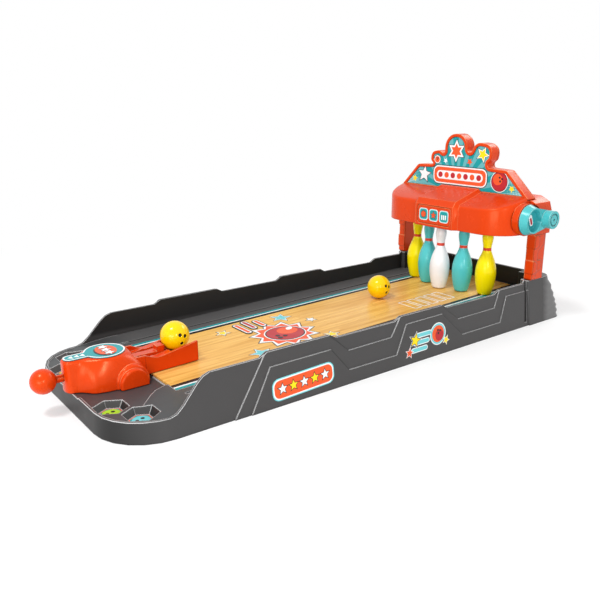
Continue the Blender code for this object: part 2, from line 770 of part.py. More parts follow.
def underside_cutter():
    """What is scooped out below the floor, with ribs, bosses and pockets left."""
    drop = FLOOR_THICKNESS + LANE_THICKNESS + GAP
    points = [(FRONT_Y - OVERRUN, DECK_HEIGHT - FLOOR_THICKNESS),
              (LANE_FRONT_Y, DECK_HEIGHT - FLOOR_THICKNESS)]
    points.append((LANE_FRONT_Y + OVERRUN, lane_top(LANE_FRONT_Y) - drop))
    points.append((REAR_Y + OVERRUN, lane_top(REAR_Y + OVERRUN) - drop))
    points.append((REAR_Y + OVERRUN, -OVERRUN))
    points.append((FRONT_Y - OVERRUN, -OVERRUN))
    scoop = tool_object("scoop", tray_shell(TRAY_WALL, -OVERRUN, REAR_HIGH))
    keep(scoop, side_prism(points))
    half = TRAY_WIDTH
    ribs = [(0, REST_RIB_WIDTH)]
    for share in RIB_PLACE_SHARES:
        ribs.append((TRAY_LENGTH * share, RIB_THICKNESS))
    for y, width in ribs:
        low = (-half, y - width / 2, -2 * OVERRUN)
        high = (half, y + width / 2, REAR_HIGH)
        cut(scoop, box_mesh(low, high))
    for centre in pocket_centres():
        floor = DECK_HEIGHT - POCKET_DEPTH - POCKET_WALL
        cut(scoop, pocket_solid(centre, POCKET_WALL, floor, DECK_HEIGHT + OVERRUN))
    for side in (-1, 1):
        cut(scoop, loft_mesh(tower_rings(side, -GAP, REAR_HIGH + OVERRUN)))
    return baked(scoop)


def lane_recess():
    reach = LANE_WIDTH / 2 + GAP
    front = LANE_FRONT_Y - GAP
    rear = LANE_FRONT_Y + LANE_LENGTH + GAP
    drop = LANE_THICKNESS + GAP
    points = [(front, lane_top(front) - drop), (rear, lane_top(rear) - drop),
              (rear, lane_top(rear) + OVERRUN), (front, lane_top(front) + OVERRUN)]
    return plate_mesh(points, -reach, reach, ALONG_X)


def swivel_well():
    """The level bed in which the launcher swivels, cut through the ramp."""
    half = [(WELL_REACH * x, PIVOT_Y + WELL_REACH * y * 0.5) for x, y in WELL_SHARES]
    half[0] = (half[0][0], LANE_FRONT_Y - GAP)
    other = [(-x, y) for x, y in reversed(half)]
    return plate_mesh(half + other, DECK_HEIGHT, DECK_HEIGHT + OVERRUN)


def stop_slot():
    """The curved slot that the launcher's stop peg runs in."""
    width = STOP_RADIUS + GAP
    spread = SWIVEL_LIMIT + width / STOP_REACH
    outer = []
    inner = []
    for k in range(CORNER_STEPS + 1):
        angle = -math.pi / 2 - spread + 2 * spread * k / CORNER_STEPS
        way = Vector((math.cos(angle), math.sin(angle)))
        outer.append(tuple(Vector((0, PIVOT_Y)) + way * (STOP_REACH + width)))
        inner.append(tuple(Vector((0, PIVOT_Y)) + way * (STOP_REACH - width)))
    return plate_mesh(outer + inner[::-1], 0, DECK_HEIGHT + OVERRUN)


def make_tray():
    tray = piece_object("tray", tray_shell(2 * RELIEF_STEP, 0, REAR_HIGH), CHARCOAL, SATIN)
    join(tray, relief_band(UPPER_RELIEF_SHARES, RELIEF_STEP))
    join(tray, relief_band(LOWER_RELIEF_SHARES, 0))
    cut(tray, wall_top_cutter())
    cut(tray, tray_cavity())
    for side in (-1, 1):
        join(tray, loft_mesh(tower_rings(side, 0, REAR_HIGH)))
        join(tray, bumper_mesh(side))
        front = REAR_Y - TOWER_SETBACK
        low = (TRAY_WIDTH / 2 - 2 * TRAY_WALL, front - TOWER_GROOVE, TRAY_DRAFT)
        high = (TRAY_WIDTH / 2 + OVERRUN, front - GAP, REAR_HIGH + OVERRUN)
        groove = box_mesh(low, high)
        slab = tool_object("groove", groove)
        cut(slab, tray_shell(3 * RELIEF_STEP, -OVERRUN, REAR_HIGH + 2 * OVERRUN))
        if side < 0:
            groove = baked(slab)
            groove.transform(Matrix.Diagonal((-1, 1, 1, 1)))
            groove.flip_normals()
        else:
            groove = baked(slab)
        cut(tray, groove)
    cut(tray, underside_cutter())
    cut(tray, lane_recess())
    cut(tray, swivel_well())
    for side in (-1, 1):
        middle = side * (LANE_WIDTH / 2 + GROOVE_SPACING)
        low = (middle - GROOVE_WIDTH / 2, 0, 0)
        high = (middle + GROOVE_WIDTH / 2, 0, 0)
        front = LANE_FRONT_Y + GROOVE_WIDTH
        rear = REAR_Y - TOWER_SETBACK
        points = [(front, lane_top(front) - GROOVE_DEPTH),
                  (rear, lane_top(rear) - GROOVE_DEPTH),
                  (rear, lane_top(rear) + GROOVE_DEPTH),
                  (front, lane_top(front) + GROOVE_DEPTH)]
        cut(tray, plate_mesh(points, low[0], high[0], ALONG_X))
    for centre in pocket_centres():
        floor = DECK_HEIGHT - POCKET_DEPTH
        cut(tray, pocket_solid(centre, 0, floor, DECK_HEIGHT + OVERRUN))
    hole = PIVOT_BOSS + GAP
    cut(tray, rod_mesh((0, PIVOT_Y, 0), (0, PIVOT_Y, REAR_HIGH), hole))
    cut(tray, stop_slot())
    cut(tray, box_mesh((-NOSE_NOTCH_HALF, FRONT_Y - OVERRUN, DECK_HEIGHT),
                       (NOSE_NOTCH_HALF, PIVOT_Y, REAR_HIGH)))
    for side in (-1, 1):
        spot = post_screw_spot(side)
        seat = REAR_HIGH - OVERRUN
        cut(tray, rod_mesh((*spot, -OVERRUN), (*spot, seat), SCREW_HEAD_RADIUS + GAP,
                           steps=SMALL_STEPS))
        cut(tray, rod_mesh((*spot, 0), (*spot, REAR_HIGH + OVERRUN),
                           SCREW_RADIUS + GAP, steps=SMALL_STEPS))
    return tray


def make_lane():
    front = LANE_FRONT_Y
    rear = LANE_FRONT_Y + LANE_LENGTH
    points = [(front, lane_top(front) - LANE_THICKNESS),
              (rear, lane_top(rear) - LANE_THICKNESS),
              (rear, lane_top(rear)), (front, lane_top(front))]
    half = LANE_WIDTH / 2
    return piece_object("lane_board", plate_mesh(points, -half, half, ALONG_X), WOOD)


def screw_mesh(seat, way, bite):
    """A screw whose head sits on seat and whose shank runs along way."""
    head = -SCREW_HEAD_HEIGHT
    profile = ((0, bite), (SCREW_RADIUS * 0.5, bite), (SCREW_RADIUS, bite - SCREW_RADIUS),
               (SCREW_RADIUS, 0), (SCREW_HEAD_RADIUS, 0),
               (SCREW_HEAD_RADIUS, head * 0.5), (SCREW_HEAD_RADIUS * SCREW_CROWN_SHARE, head),
               (0, head))
    turn = Vector(way).to_track_quat("Z", "Y").to_matrix().to_4x4()
    return turned_mesh(profile, Matrix.Translation(seat) @ turn, SMALL_STEPS, "screw")


def make_screw(name, seat, way, bite=SCREW_BITE):
    return piece_object(name, screw_mesh(seat, way, bite), STEEL, GLOSSY, 1.0)


def post_screw_spot(side):
    x = POST_OUTER - POST_THICKNESS * POST_SCREW_SHARE
    return (side * x, POST_Y + POST_DEPTH / 2)


def make_post(side, name):
    low_x = POST_OUTER - POST_THICKNESS
    bottom = REAR_HIGH + GAP
    top = HEADER_BOTTOM - GAP
    height = top - bottom
    low = (low_x, POST_Y, bottom)
    high = (POST_OUTER - 2 * POST_RELIEF, POST_Y + POST_DEPTH, top)
    post = piece_object(name, box_mesh(low, high), ORANGE)

    def relief(shares, proud):
        points = [(POST_Y + POST_DEPTH * a, bottom + height * b) for a, b in shares]
        return plate_mesh(points, low_x, POST_OUTER - proud, ALONG_X)

    join(post, relief(MIDDLE_RELIEF_SHARES, POST_RELIEF))
    join(post, relief(FRONT_RELIEF_SHARES, 0))
    join(post, relief(LOW_RELIEF_SHARES, 0))
    tenon_low = (low_x + TENON_SETBACK, POST_Y + POST_DEPTH / 2, top - OVERRUN)
    tenon_high = (POST_OUTER - TENON_SETBACK, POST_Y + POST_DEPTH - TENON_SETBACK,
                  top + TENON_HEIGHT)
    join(post, box_mesh(tenon_low, tenon_high))
    spot = post_screw_spot(1)
    cut(post, rod_mesh((*spot, bottom - OVERRUN), (*spot, bottom + SCREW_BITE),
                       SCREW_RADIUS + GAP, steps=SMALL_STEPS))
    if side < 0:
        flipped = baked(post)
        flipped.transform(Matrix.Diagonal((-1, 1, 1, 1)))
        flipped.flip_normals()
        post.modifiers.clear()
        post.data = flipped
    return post


def deck_height(y, rise=0.0):
    """The header's sloping top, which climbs from the front to the sign."""
    share = (y - WING_Y) / DECK_RUN
    return WING_FRONT_HEIGHT + (HEADER_TOP - WING_FRONT_HEIGHT) * share + rise


def above_deck(rise, drop, front, rear):
    points = [(front, deck_height(front, rise) - drop),
              (SIGN_Y, HEADER_TOP + rise - drop), (rear, HEADER_TOP + rise - drop),
              (rear, HEADER_TOP + 4 * OVERRUN), (front, HEADER_TOP + 4 * OVERRUN)]
    return side_prism(points)


def sign_notch(front):
    """The room above the seat that the sign stands in."""
    reach = SIGN_HALF + GAP
    return box_mesh((-reach, front, SIGN_SEAT),
                    (reach, SIGN_Y + SIGN_DEPTH + GAP, HEADER_TOP + 4 * OVERRUN))


def wing_outline(inset, rear):
    half = HEADER_HALF - inset
    front = WING_Y + inset
    round_end = HEADER_END_ROUND - inset
    corners = ((-half, front, round_end), (half, front, round_end), (half, rear, 0),
               (-half, rear, 0))
    return rounded(corners, 2 * CORNER_STEPS)


def make_front_shell():
    seam = SEAM_Y - GAP
    low = HEADER_BOTTOM - OVERRUN
    wings = tool_object("wings", plate_mesh(wing_outline(0, seam + OVERRUN), low,
                                            HEADER_TOP + OVERRUN))
    cut(wings, above_deck(0, 0, WING_Y - 3 * OVERRUN, seam + 3 * OVERRUN))
    bevel(wings, HEADER_BEVEL, 3)
    block_y = WING_Y - BLOCK_PROUD
    block = tool_object("block", box_mesh((-BLOCK_HALF, block_y, low),
                                          (BLOCK_HALF, SEAM_Y + OVERRUN,
                                           HEADER_TOP + 2 * OVERRUN)))
    slope = above_deck(BLOCK_RISE, 0, block_y - OVERRUN, seam + 3 * OVERRUN)
    cut(block, slope)
    bevel(block, BLOCK_CHAMFER, 1)
    shell = piece_object("header_front_shell", baked(wings), ORANGE)
    join(shell, baked(block))
    rear_cut = box_mesh((-TRAY_WIDTH, seam, low - OVERRUN),
                        (TRAY_WIDTH, REAR_Y, HEADER_TOP + 4 * OVERRUN))
    join(shell, rod_mesh((HEADER_HALF - SKIN, SHAFT_Y, SHAFT_HEIGHT),
                         (HEADER_HALF + COLLAR_REACH, SHAFT_Y, SHAFT_HEIGHT),
                         COLLAR_RADIUS))
    cut(shell, rod_mesh((HEADER_HALF, SHAFT_Y, SHAFT_HEIGHT),
                        (HEADER_HALF + COLLAR_REACH + OVERRUN, SHAFT_Y, SHAFT_HEIGHT),
                        COLLAR_RADIUS - COLLAR_WALL))
    cut(shell, rear_cut)
    cut(shell, sign_notch(SIGN_Y - GAP))
    cut(shell, box_mesh((-TRAY_WIDTH, block_y - OVERRUN, 0),
                        (TRAY_WIDTH, REAR_Y, HEADER_BOTTOM)))
    inside = tool_object("inside", plate_mesh(wing_outline(SKIN, SEAM_Y + OVERRUN),
                                              HEADER_BOTTOM - OVERRUN,
                                              HEADER_TOP + OVERRUN))
    cut(inside, above_deck(0, SKIN, WING_Y - 3 * OVERRUN, SEAM_Y + 3 * OVERRUN))
    cut(inside, box_mesh((-TRAY_WIDTH, SIGN_Y - GAP - SKIN, SIGN_SEAT - SKIN),
                         (TRAY_WIDTH, REAR_Y, HEADER_TOP + 4 * OVERRUN)))
    for x, y in carrier_screw_spots():
        boss_low = CARRIER_BOTTOM + CARRIER_THICKNESS + GAP
        cut(inside, rod_mesh((x, y, boss_low), (x, y, HEADER_TOP + 2 * OVERRUN),
                             BOSS_RADIUS, steps=SMALL_STEPS))
    for side in (-1, 1):
        x = side * SEAM_BOSS_PLACE[0]
        z = SEAM_BOSS_PLACE[1]
        cut(inside, rod_mesh((x, WING_Y, z), (x, seam, z), BOSS_RADIUS,
                             steps=SMALL_STEPS))
    cut(shell, baked(inside))
    for x, y in carrier_screw_spots():
        cut(shell, rod_mesh((x, y, HEADER_BOTTOM), (x, y, CARRIER_BOTTOM + SCREW_BITE
                                                    + GAP),
                            SCREW_RADIUS + GAP, steps=SMALL_STEPS))
    for side in (-1, 1):
        x = side * SEAM_BOSS_PLACE[0]
        z = SEAM_BOSS_PLACE[1]
        cut(shell, rod_mesh((x, seam - SCREW_BITE, z), (x, seam + OVERRUN, z),
                            SCREW_RADIUS + GAP, steps=SMALL_STEPS))
        hole = (side * (HEADER_HALF - 2 * SKIN), SHAFT_Y, SHAFT_HEIGHT)
        out = (side * (HEADER_HALF + OVERRUN), SHAFT_Y, SHAFT_HEIGHT)
        cut(shell, rod_mesh(hole, out, BUSH_RADIUS + GAP))
    corners = ((-ICON_HALF, ICON_BOTTOM, ICON_ROUND), (ICON_HALF, ICON_BOTTOM, ICON_ROUND),
               (ICON_HALF, ICON_TOP, ICON_ROUND), (-ICON_HALF, ICON_TOP, ICON_ROUND))
    cut(shell, plate_mesh(rounded(corners), -block_y - ICON_RECESS, -block_y + OVERRUN,
                          ALONG_Y))
    return shell


def make_icon_panel():
    inner = inset_corners(((-ICON_HALF, ICON_BOTTOM, ICON_ROUND),
                           (ICON_HALF, ICON_BOTTOM, ICON_ROUND),
                           (ICON_HALF, ICON_TOP, ICON_ROUND),
                           (-ICON_HALF, ICON_TOP, ICON_ROUND)), GAP)
    back = WING_Y - BLOCK_PROUD + ICON_RECESS - GAP
    mesh = plate_mesh(rounded(inner), -back, -back + ICON_THICKNESS, ALONG_Y)
    return piece_object("icon_panel", mesh, TEAL_PRINT)


def make_rear_shell():
    outer = END_BLOCK_OUTER
    points = [(-outer, HEADER_BOTTOM), (outer, HEADER_BOTTOM), (outer, END_BLOCK_EDGE),
              (outer - END_BLOCK_STEP, END_BLOCK_TOP), (END_BLOCK_WALL, HEADER_TOP),
              (-END_BLOCK_WALL, HEADER_TOP), (END_BLOCK_STEP - outer, END_BLOCK_TOP),
              (-outer, END_BLOCK_EDGE)]
    shell = piece_object("header_rear_shell",
                         plate_mesh(points, -HEADER_REAR_Y, -SEAM_Y, ALONG_Y), ORANGE)
    inside = tool_object("inside", box_mesh(
        (-END_BLOCK_WALL, SEAM_Y - OVERRUN, REAR_OPENING_TOP - GAP),
        (END_BLOCK_WALL, HEADER_REAR_Y - SKIN, SIGN_SEAT - SKIN)))
    for side in (-1, 1):
        x = side * SEAM_BOSS_PLACE[0]
        z = SEAM_BOSS_PLACE[1]
        cut(inside, rod_mesh((x, SEAM_Y, z), (x, HEADER_REAR_Y, z), BOSS_RADIUS,
                             steps=SMALL_STEPS))
    cut(shell, baked(inside))
    cut(shell, sign_notch(SEAM_Y - OVERRUN))
    cut(shell, box_mesh((-END_BLOCK_WALL, SEAM_Y - OVERRUN, HEADER_BOTTOM - OVERRUN),
                        (END_BLOCK_WALL, HEADER_REAR_Y + OVERRUN, REAR_OPENING_TOP)))
    for side in (-1, 1):
        x = side * SEAM_BOSS_PLACE[0]
        z = SEAM_BOSS_PLACE[1]
        rear = HEADER_REAR_Y + OVERRUN
        cut(shell, rod_mesh((x, SEAM_Y - OVERRUN, z), (x, rear, z),
                            SCREW_RADIUS + GAP, steps=SMALL_STEPS))
        cut(shell, rod_mesh((x, HEADER_REAR_Y - 2 * SKIN, z), (x, rear, z),
                            SCREW_HEAD_RADIUS + GAP, steps=SMALL_STEPS))
        inner = POST_OUTER - POST_THICKNESS + TENON_SETBACK - GAP
        far = POST_OUTER - TENON_SETBACK + GAP
        xs = sorted((side * inner, side * far))
        low = (xs[0], POST_Y + POST_DEPTH / 2 - GAP, HEADER_BOTTOM - OVERRUN)
        high = (xs[1], POST_Y + POST_DEPTH - TENON_SETBACK + GAP,
                HEADER_BOTTOM + TENON_HEIGHT)
        cut(shell, box_mesh(low, high))
        tab = SIGN_TAB_WIDTH / 2 + GAP
        spot = side * SIGN_TAB_X
        tab_y = sign_tab_front() - GAP
        cut(shell, box_mesh((spot - tab, tab_y, SIGN_SEAT - 2 * SKIN),
                            (spot + tab, tab_y + SIGN_TAB_LENGTH + 2 * GAP,
                             HEADER_TOP + OVERRUN)))
    start = (HEADER_HALF + GAP, SHAFT_Y, SHAFT_HEIGHT)
    end = (END_BLOCK_OUTER + OVERRUN, SHAFT_Y, SHAFT_HEIGHT)
    cut(shell, rod_mesh(start, end, COLLAR_RADIUS + CUP_CLEARANCE))
    return shell


def sign_tab_front():
    return SEAM_Y + SIGN_TAB_SETBACK


def sign_corners(inset=0.0):
    base = SIGN_SEAT + GAP
    corners = [(SIGN_HALF * x, base + SIGN_HEIGHT * z, SIGN_HALF * r)
               for x, z, r in SIGN_OUTLINE_SHARES]
    return rounded(inset_corners(corners, inset)) if inset else rounded(corners)


def make_sign():
    rear = SIGN_Y + SIGN_DEPTH
    shell = piece_object("sign_shell",
                         plate_mesh(sign_corners(), GAP + SKIN - rear, -SIGN_Y, ALONG_Y),
                         ORANGE)
    front_wall = SIGN_Y + SIGN_RECESS + SKIN
    inner = sign_corners(SKIN)
    inside = tool_object("inside", plate_mesh(inner, -rear - OVERRUN, -front_wall,
                                              ALONG_Y))
    for x, z in sign_screw_spots():
        cut(inside, rod_mesh((x, SIGN_Y, z), (x, rear - SKIN - GAP, z), BOSS_RADIUS,
                             steps=SMALL_STEPS))
    cut(shell, baked(inside))
    cut(shell, plate_mesh(sign_corners(SIGN_RIM), -SIGN_Y - SIGN_RECESS,
                          -SIGN_Y + OVERRUN, ALONG_Y))
    for side in (-1, 1):
        spot = side * SIGN_TAB_X
        half = SIGN_TAB_WIDTH / 2
        front = sign_tab_front()
        join(shell, box_mesh((spot - half, front, SIGN_SEAT - SIGN_TAB_DROP),
                             (spot + half, front + SIGN_TAB_LENGTH,
                              SIGN_SEAT + SKIN)))
    for x, z in sign_screw_spots():
        cut(shell, rod_mesh((x, rear - SCREW_BITE - GAP, z), (x, rear, z),
                            SCREW_RADIUS + GAP, steps=SMALL_STEPS))
    panel_back = SIGN_Y + SIGN_RECESS - GAP
    piece_object("sign_panel",
                 plate_mesh(sign_corners(SIGN_RIM + GAP), -panel_back,
                            -panel_back + SIGN_PANEL, ALONG_Y), TEAL_PRINT)
    cover = piece_object("sign_back_cover",
                         plate_mesh(sign_corners(), -rear, SKIN - rear, ALONG_Y), ORANGE)
    for k, (x, z) in enumerate(sign_screw_spots(), 1):
        cut(cover, rod_mesh((x, SIGN_Y, z), (x, rear + OVERRUN, z), SCREW_RADIUS + GAP,
                            steps=SMALL_STEPS))
        make_screw("sign_screw_%d" % k, (x, rear + GAP, z), (0, -1, 0))
    return shell


def sign_screw_spots():
    across, up = SIGN_SCREW_SHARES
    height = SIGN_SEAT + SIGN_HEIGHT * up
    return [(-SIGN_HALF * across, height), (SIGN_HALF * across, height)]


def carrier_screw_spots():
    x = HEADER_HALF - CARRIER_SCREW_INSET
    y = REAR_Y - CARRIER_SCREW_SETBACK
    return [(-x, y), (x, y)]


def pin_spots():
    """Each pin's place on the lane, from the left to the right."""
    return [(PIN_PITCH * k, PIN_Y + PIN_ROW_STEP * abs(k)) for k in range(-2, 3)]


def pin_foot(y):
    return lane_top(y + PIN_BELLY) + PIN_LIFT


def pin_pivot(y):
    return pin_foot(y) + PIN_HEIGHT + PIN_NECK_DROP


def make_pin(number, x, y, colour):
    foot = pin_foot(y)
    pivot = pin_pivot(y)
    profile = [(PIN_BELLY * r, PIN_HEIGHT * h) for h, r in PIN_PROFILE_SHARES]
    profile = [(0, PIN_HEIGHT)] + profile + [(0, 0)]
    mesh = turned_mesh(profile, Matrix.Translation((x, y, foot)), PIN_STEPS, "pin")
    pin = piece_object("pin_%d" % number, mesh, colour, POLISHED)
    stem = PIN_BELLY * PIN_PROFILE_SHARES[0][1] - GAP / 3
    join(pin, rod_mesh((x, y, foot + PIN_HEIGHT - SKIN), (x, y, pivot), stem,
                       steps=SMALL_STEPS))
    join(pin, rod_mesh((x - EYE_WIDTH / 2, y, pivot), (x + EYE_WIDTH / 2, y, pivot),
                       EYE_RADIUS, steps=SMALL_STEPS))
    cut(pin, rod_mesh((x - EYE_WIDTH, y, pivot), (x + EYE_WIDTH, y, pivot),
                      AXLE_RADIUS + GAP, steps=SMALL_STEPS))
    reach = EYE_WIDTH / 2 + GAP + EAR_THICKNESS + GAP
    piece_object("pin_axle_%d" % number,
                 rod_mesh((x - reach, y, pivot), (x + reach, y, pivot), AXLE_RADIUS,
                          steps=SMALL_STEPS), STEEL, GLOSSY, 1.0)
    return pin


def ear_mesh(x, y, pivot, side):
    inner = EYE_WIDTH / 2 + GAP
    xs = sorted((x + side * inner, x + side * (inner + EAR_THICKNESS)))
    top = CARRIER_BOTTOM + CARRIER_THICKNESS / 2
    points = [(y + EYE_RADIUS, pivot), (y + EYE_RADIUS, top), (y - EYE_RADIUS, top)]
    for k in range(SMALL_STEPS // 2 + 1):
        angle = math.pi + math.pi * k / (SMALL_STEPS // 2)
        points.append((y + EYE_RADIUS * math.cos(angle),
                       pivot + EYE_RADIUS * math.sin(angle)))
    return plate_mesh(points[:-1], xs[0], xs[1], ALONG_X)


def make_carrier():
    front = REAR_Y - CARRIER_FRONT
    rear = REAR_Y - CARRIER_REAR
    corners = ((-CARRIER_HALF, front, CARRIER_ROUND), (CARRIER_HALF, front, CARRIER_ROUND),
               (CARRIER_HALF, rear, 0), (-CARRIER_HALF, rear, 0))
    plate = plate_mesh(rounded(corners), CARRIER_BOTTOM,
                       CARRIER_BOTTOM + CARRIER_THICKNESS)
    carrier = piece_object("pin_carrier", plate, CHARCOAL, SATIN)
    for x, y in pin_spots():
        for side in (-1, 1):
            join(carrier, ear_mesh(x, y, pin_pivot(y), side))
    for x, y in pin_spots():
        pivot = pin_pivot(y)
        cut(carrier, rod_mesh((x - PIN_BELLY, y, pivot), (x + PIN_BELLY, y, pivot),
                              AXLE_RADIUS + GAP, steps=SMALL_STEPS))
    for k, (x, y) in enumerate(carrier_screw_spots(), 1):
        cut(carrier, rod_mesh((x, y, HEADER_BOTTOM), (x, y, HEADER_TOP),
                              SCREW_RADIUS + GAP, steps=SMALL_STEPS))
        make_screw("carrier_screw_%d" % k, (x, y, CARRIER_BOTTOM - GAP), (0, 0, 1))
    return carrier


def shaft_place(x):
    return (x, SHAFT_Y, SHAFT_HEIGHT)


def make_bush(name, side):
    inner = SHAFT_RADIUS + GAP
    flange_out = HEADER_HALF - SKIN - BUSH_FLANGE_SETBACK
    flange_in = flange_out - BUSH_FLANGE_WIDTH
    end = HEADER_HALF - GAP
    bush = piece_object(name, rod_mesh(shaft_place(side * flange_in),
                                       shaft_place(side * end), BUSH_RADIUS),
                        WHITE, SATIN)
    join(bush, rod_mesh(shaft_place(side * flange_in), shaft_place(side * flange_out),
                        BUSH_FLANGE))
    cut(bush, rod_mesh(shaft_place(side * (flange_in - OVERRUN)),
                       shaft_place(side * (end + OVERRUN)), inner, steps=SMALL_STEPS))
    return bush


def make_shaft():
    shaft = piece_object("reset_shaft",
                         rod_mesh(shaft_place(-SHAFT_LEFT), shaft_place(SHAFT_RIGHT),
                                  SHAFT_RADIUS, steps=SMALL_STEPS), STEEL, GLOSSY, 1.0)
    clip_x = BAIL_HALF + SKIN
    clip = piece_object("shaft_clip",
                        rod_mesh(shaft_place(-clip_x - CLIP_WIDTH), shaft_place(-clip_x),
                                 CLIP_RADIUS, steps=SMALL_STEPS), STEEL, GLOSSY, 1.0)
    cut(clip, rod_mesh(shaft_place(-clip_x - OVERRUN), shaft_place(OVERRUN - clip_x),
                       SHAFT_RADIUS + GAP, steps=SMALL_STEPS))
    return shaft


def make_bail():
    """Parked level behind the shaft, above the space the pins swing up into."""
    bail = piece_object("reset_bail",
                        rod_mesh(shaft_place(-BAIL_HALF), shaft_place(BAIL_HALF),
                                 BAIL_TUBE, steps=SMALL_STEPS), CHARCOAL, SATIN)
    way = Vector((0, math.cos(BAIL_PARK), math.sin(BAIL_PARK)))
    tip = Vector((0, SHAFT_Y, SHAFT_HEIGHT)) + way * BAIL_REACH
    join(bail, rod_mesh((-BAIL_HALF, tip.y, tip.z), (BAIL_HALF, tip.y, tip.z), BAIL_BAR,
                        steps=SMALL_STEPS))
    turn = Matrix.Translation(shaft_place(0)) @ Matrix.Rotation(BAIL_PARK, 4, "X")
    for share in BAIL_ARM_SHARES:
        x = PIN_PITCH * share
        half = BAIL_ARM_WIDTH / 2
        arm = box_mesh((x - half, 0, -BAIL_ARM_DEPTH / 2),
                       (x + half, BAIL_REACH, BAIL_ARM_DEPTH / 2))
        arm.transform(turn)
        join(bail, arm)
    cut(bail, rod_mesh(shaft_place(-TRAY_WIDTH), shaft_place(TRAY_WIDTH),
                       SHAFT_RADIUS + GAP, steps=SMALL_STEPS))
    return bail


def make_crank():
    base = HEADER_HALF + COLLAR_REACH + 2 * GAP
    rim = base + CUP_LENGTH
    cup_turn = Matrix.Translation(shaft_place(base)) @ Matrix.Rotation(math.pi / 2, 4, "Y")
    lip = CUP_RIM_RADIUS - CUP_LIP
    floor = CUP_LENGTH - CUP_RECESS
    profile = ((0, floor), (lip * CUP_FLOOR_SHARE, floor), (lip, CUP_LENGTH - GAP),
               (lip + GAP, CUP_LENGTH), (CUP_RIM_RADIUS, CUP_LENGTH),
               (CUP_RIM_RADIUS + GAP, CUP_LENGTH - CUP_LIP),
               (CUP_BASE_RADIUS, 0), (HUB_RADIUS, 0), (HUB_RADIUS, -HUB_LENGTH),
               (0, -HUB_LENGTH))
    crank = piece_object("crank", turned_mesh(profile, cup_turn), TEAL, POLISHED)
    handle_y = SHAFT_Y + HANDLE_REACH
    plane = rim - ARM_THICKNESS
    arm_points = tangent_outline(CUP_RIM_RADIUS, HANDLE_RADIUS, HANDLE_REACH)
    arm = tool_object("arm", plate_mesh(arm_points, plane, rim - GAP, ALONG_X))
    cut(arm, rod_mesh(shaft_place(base), shaft_place(rim + OVERRUN), lip + CUP_LIP / 2))
    join(crank, baked(arm))
    end = rim + HANDLE_PROUD
    join(crank, rod_mesh((plane, handle_y, SHAFT_HEIGHT), (end, handle_y, SHAFT_HEIGHT),
                         HANDLE_RADIUS))
    ring = tool_object("ring", rod_mesh((end - HANDLE_DIMPLE, handle_y, SHAFT_HEIGHT),
                                        (end + OVERRUN, handle_y, SHAFT_HEIGHT),
                                        HANDLE_RING))
    cut(ring, rod_mesh((plane, handle_y, SHAFT_HEIGHT),
                       (end + 2 * OVERRUN, handle_y, SHAFT_HEIGHT),
                       HANDLE_RING - HANDLE_DIMPLE))
    cut(crank, baked(ring))
    cut(crank, rod_mesh((end - 2 * HANDLE_DIMPLE, handle_y, SHAFT_HEIGHT),
                        (end + OVERRUN, handle_y, SHAFT_HEIGHT), HANDLE_DIMPLE,
                        steps=SMALL_STEPS))
    cut(crank, rod_mesh(shaft_place(base - OVERRUN), shaft_place(SHAFT_RIGHT + GAP),
                        SHAFT_RADIUS + GAP, steps=SMALL_STEPS))
    half_y = MARKER_SIZE[0] / 2
    half_z = MARKER_SIZE[1] / 2
    marker_x = base + floor + GAP
    corners = ((SHAFT_Y - half_y, SHAFT_HEIGHT - half_z, MARKER_ROUND),
               (SHAFT_Y + half_y, SHAFT_HEIGHT - half_z, MARKER_ROUND),
               (SHAFT_Y + half_y, SHAFT_HEIGHT + half_z, MARKER_ROUND),
               (SHAFT_Y - half_y, SHAFT_HEIGHT + half_z, MARKER_ROUND))
    piece_object("crank_marker",
                 plate_mesh(rounded(corners, 4), marker_x, marker_x + MARKER_SIZE[2],
                            ALONG_X), WHITE, SATIN)
    return crank


def tangent_outline(near, far, reach):
    """The outline round two discs and the lines that touch both."""
    slant = math.asin((near - far) / reach)
    points = []
    for k in range(ROUND_STEPS // 2 + 1):
        angle = math.pi / 2 - slant + (math.pi + 2 * slant) * k / (ROUND_STEPS // 2)
        points.append((SHAFT_Y + near * math.cos(angle),
                       SHAFT_HEIGHT + near * math.sin(angle)))
    for k in range(ROUND_STEPS // 2 + 1):
        angle = -math.pi / 2 + slant + (math.pi - 2 * slant) * k / (ROUND_STEPS // 2)
        points.append((SHAFT_Y + reach + far * math.cos(angle),
                       SHAFT_HEIGHT + far * math.sin(angle)))
    return points


def launcher_ring(blend, inset, height):
    """The launcher's outline, from blend 0 at its foot to 1 at its flat top."""
    half = []
    for top_y, top_x, foot_y, foot_x in LAUNCHER_STATION_SHARES:
        y = (foot_y + (top_y - foot_y) * blend) * LAUNCHER_DISC
        x = (foot_x + (top_x - foot_x) * blend) * LAUNCHER_DISC
        half.append((x, PIVOT_Y + y, 0))
    other = [(-x, y, 0) for x, y, _ in reversed(half[1:-1])]
    drawn = inset_corners(half + other, inset)
    return [(x, y, height) for x, y, _ in drawn]


def launcher_body(inset, bottom, top):
    height = LAUNCHER_TOP - SKIRT_Z
    return loft_mesh([launcher_ring((level - SKIRT_Z) / height, inset, level)
                      for level in (bottom, top)])


def chute_points(shares):
    return [(PIVOT_Y + CHUTE_END * a, LAUNCHER_TOP * b) for a, b in shares]


def trough_points(drop, front, rear):
    """The stepped trough behind the ball, which climbs as the fins do."""
    def level(y):
        return TROUGH_TOP - drop + TROUGH_SLOPE_SHARE * (y - STRIKER_Y)
    return [(front, level(front)), (rear, level(rear)),
            (rear, LAUNCHER_TOP + OVERRUN), (front, LAUNCHER_TOP + OVERRUN)]


def plunger_place(y):
    return (0, y, PLUNGER_HEIGHT)


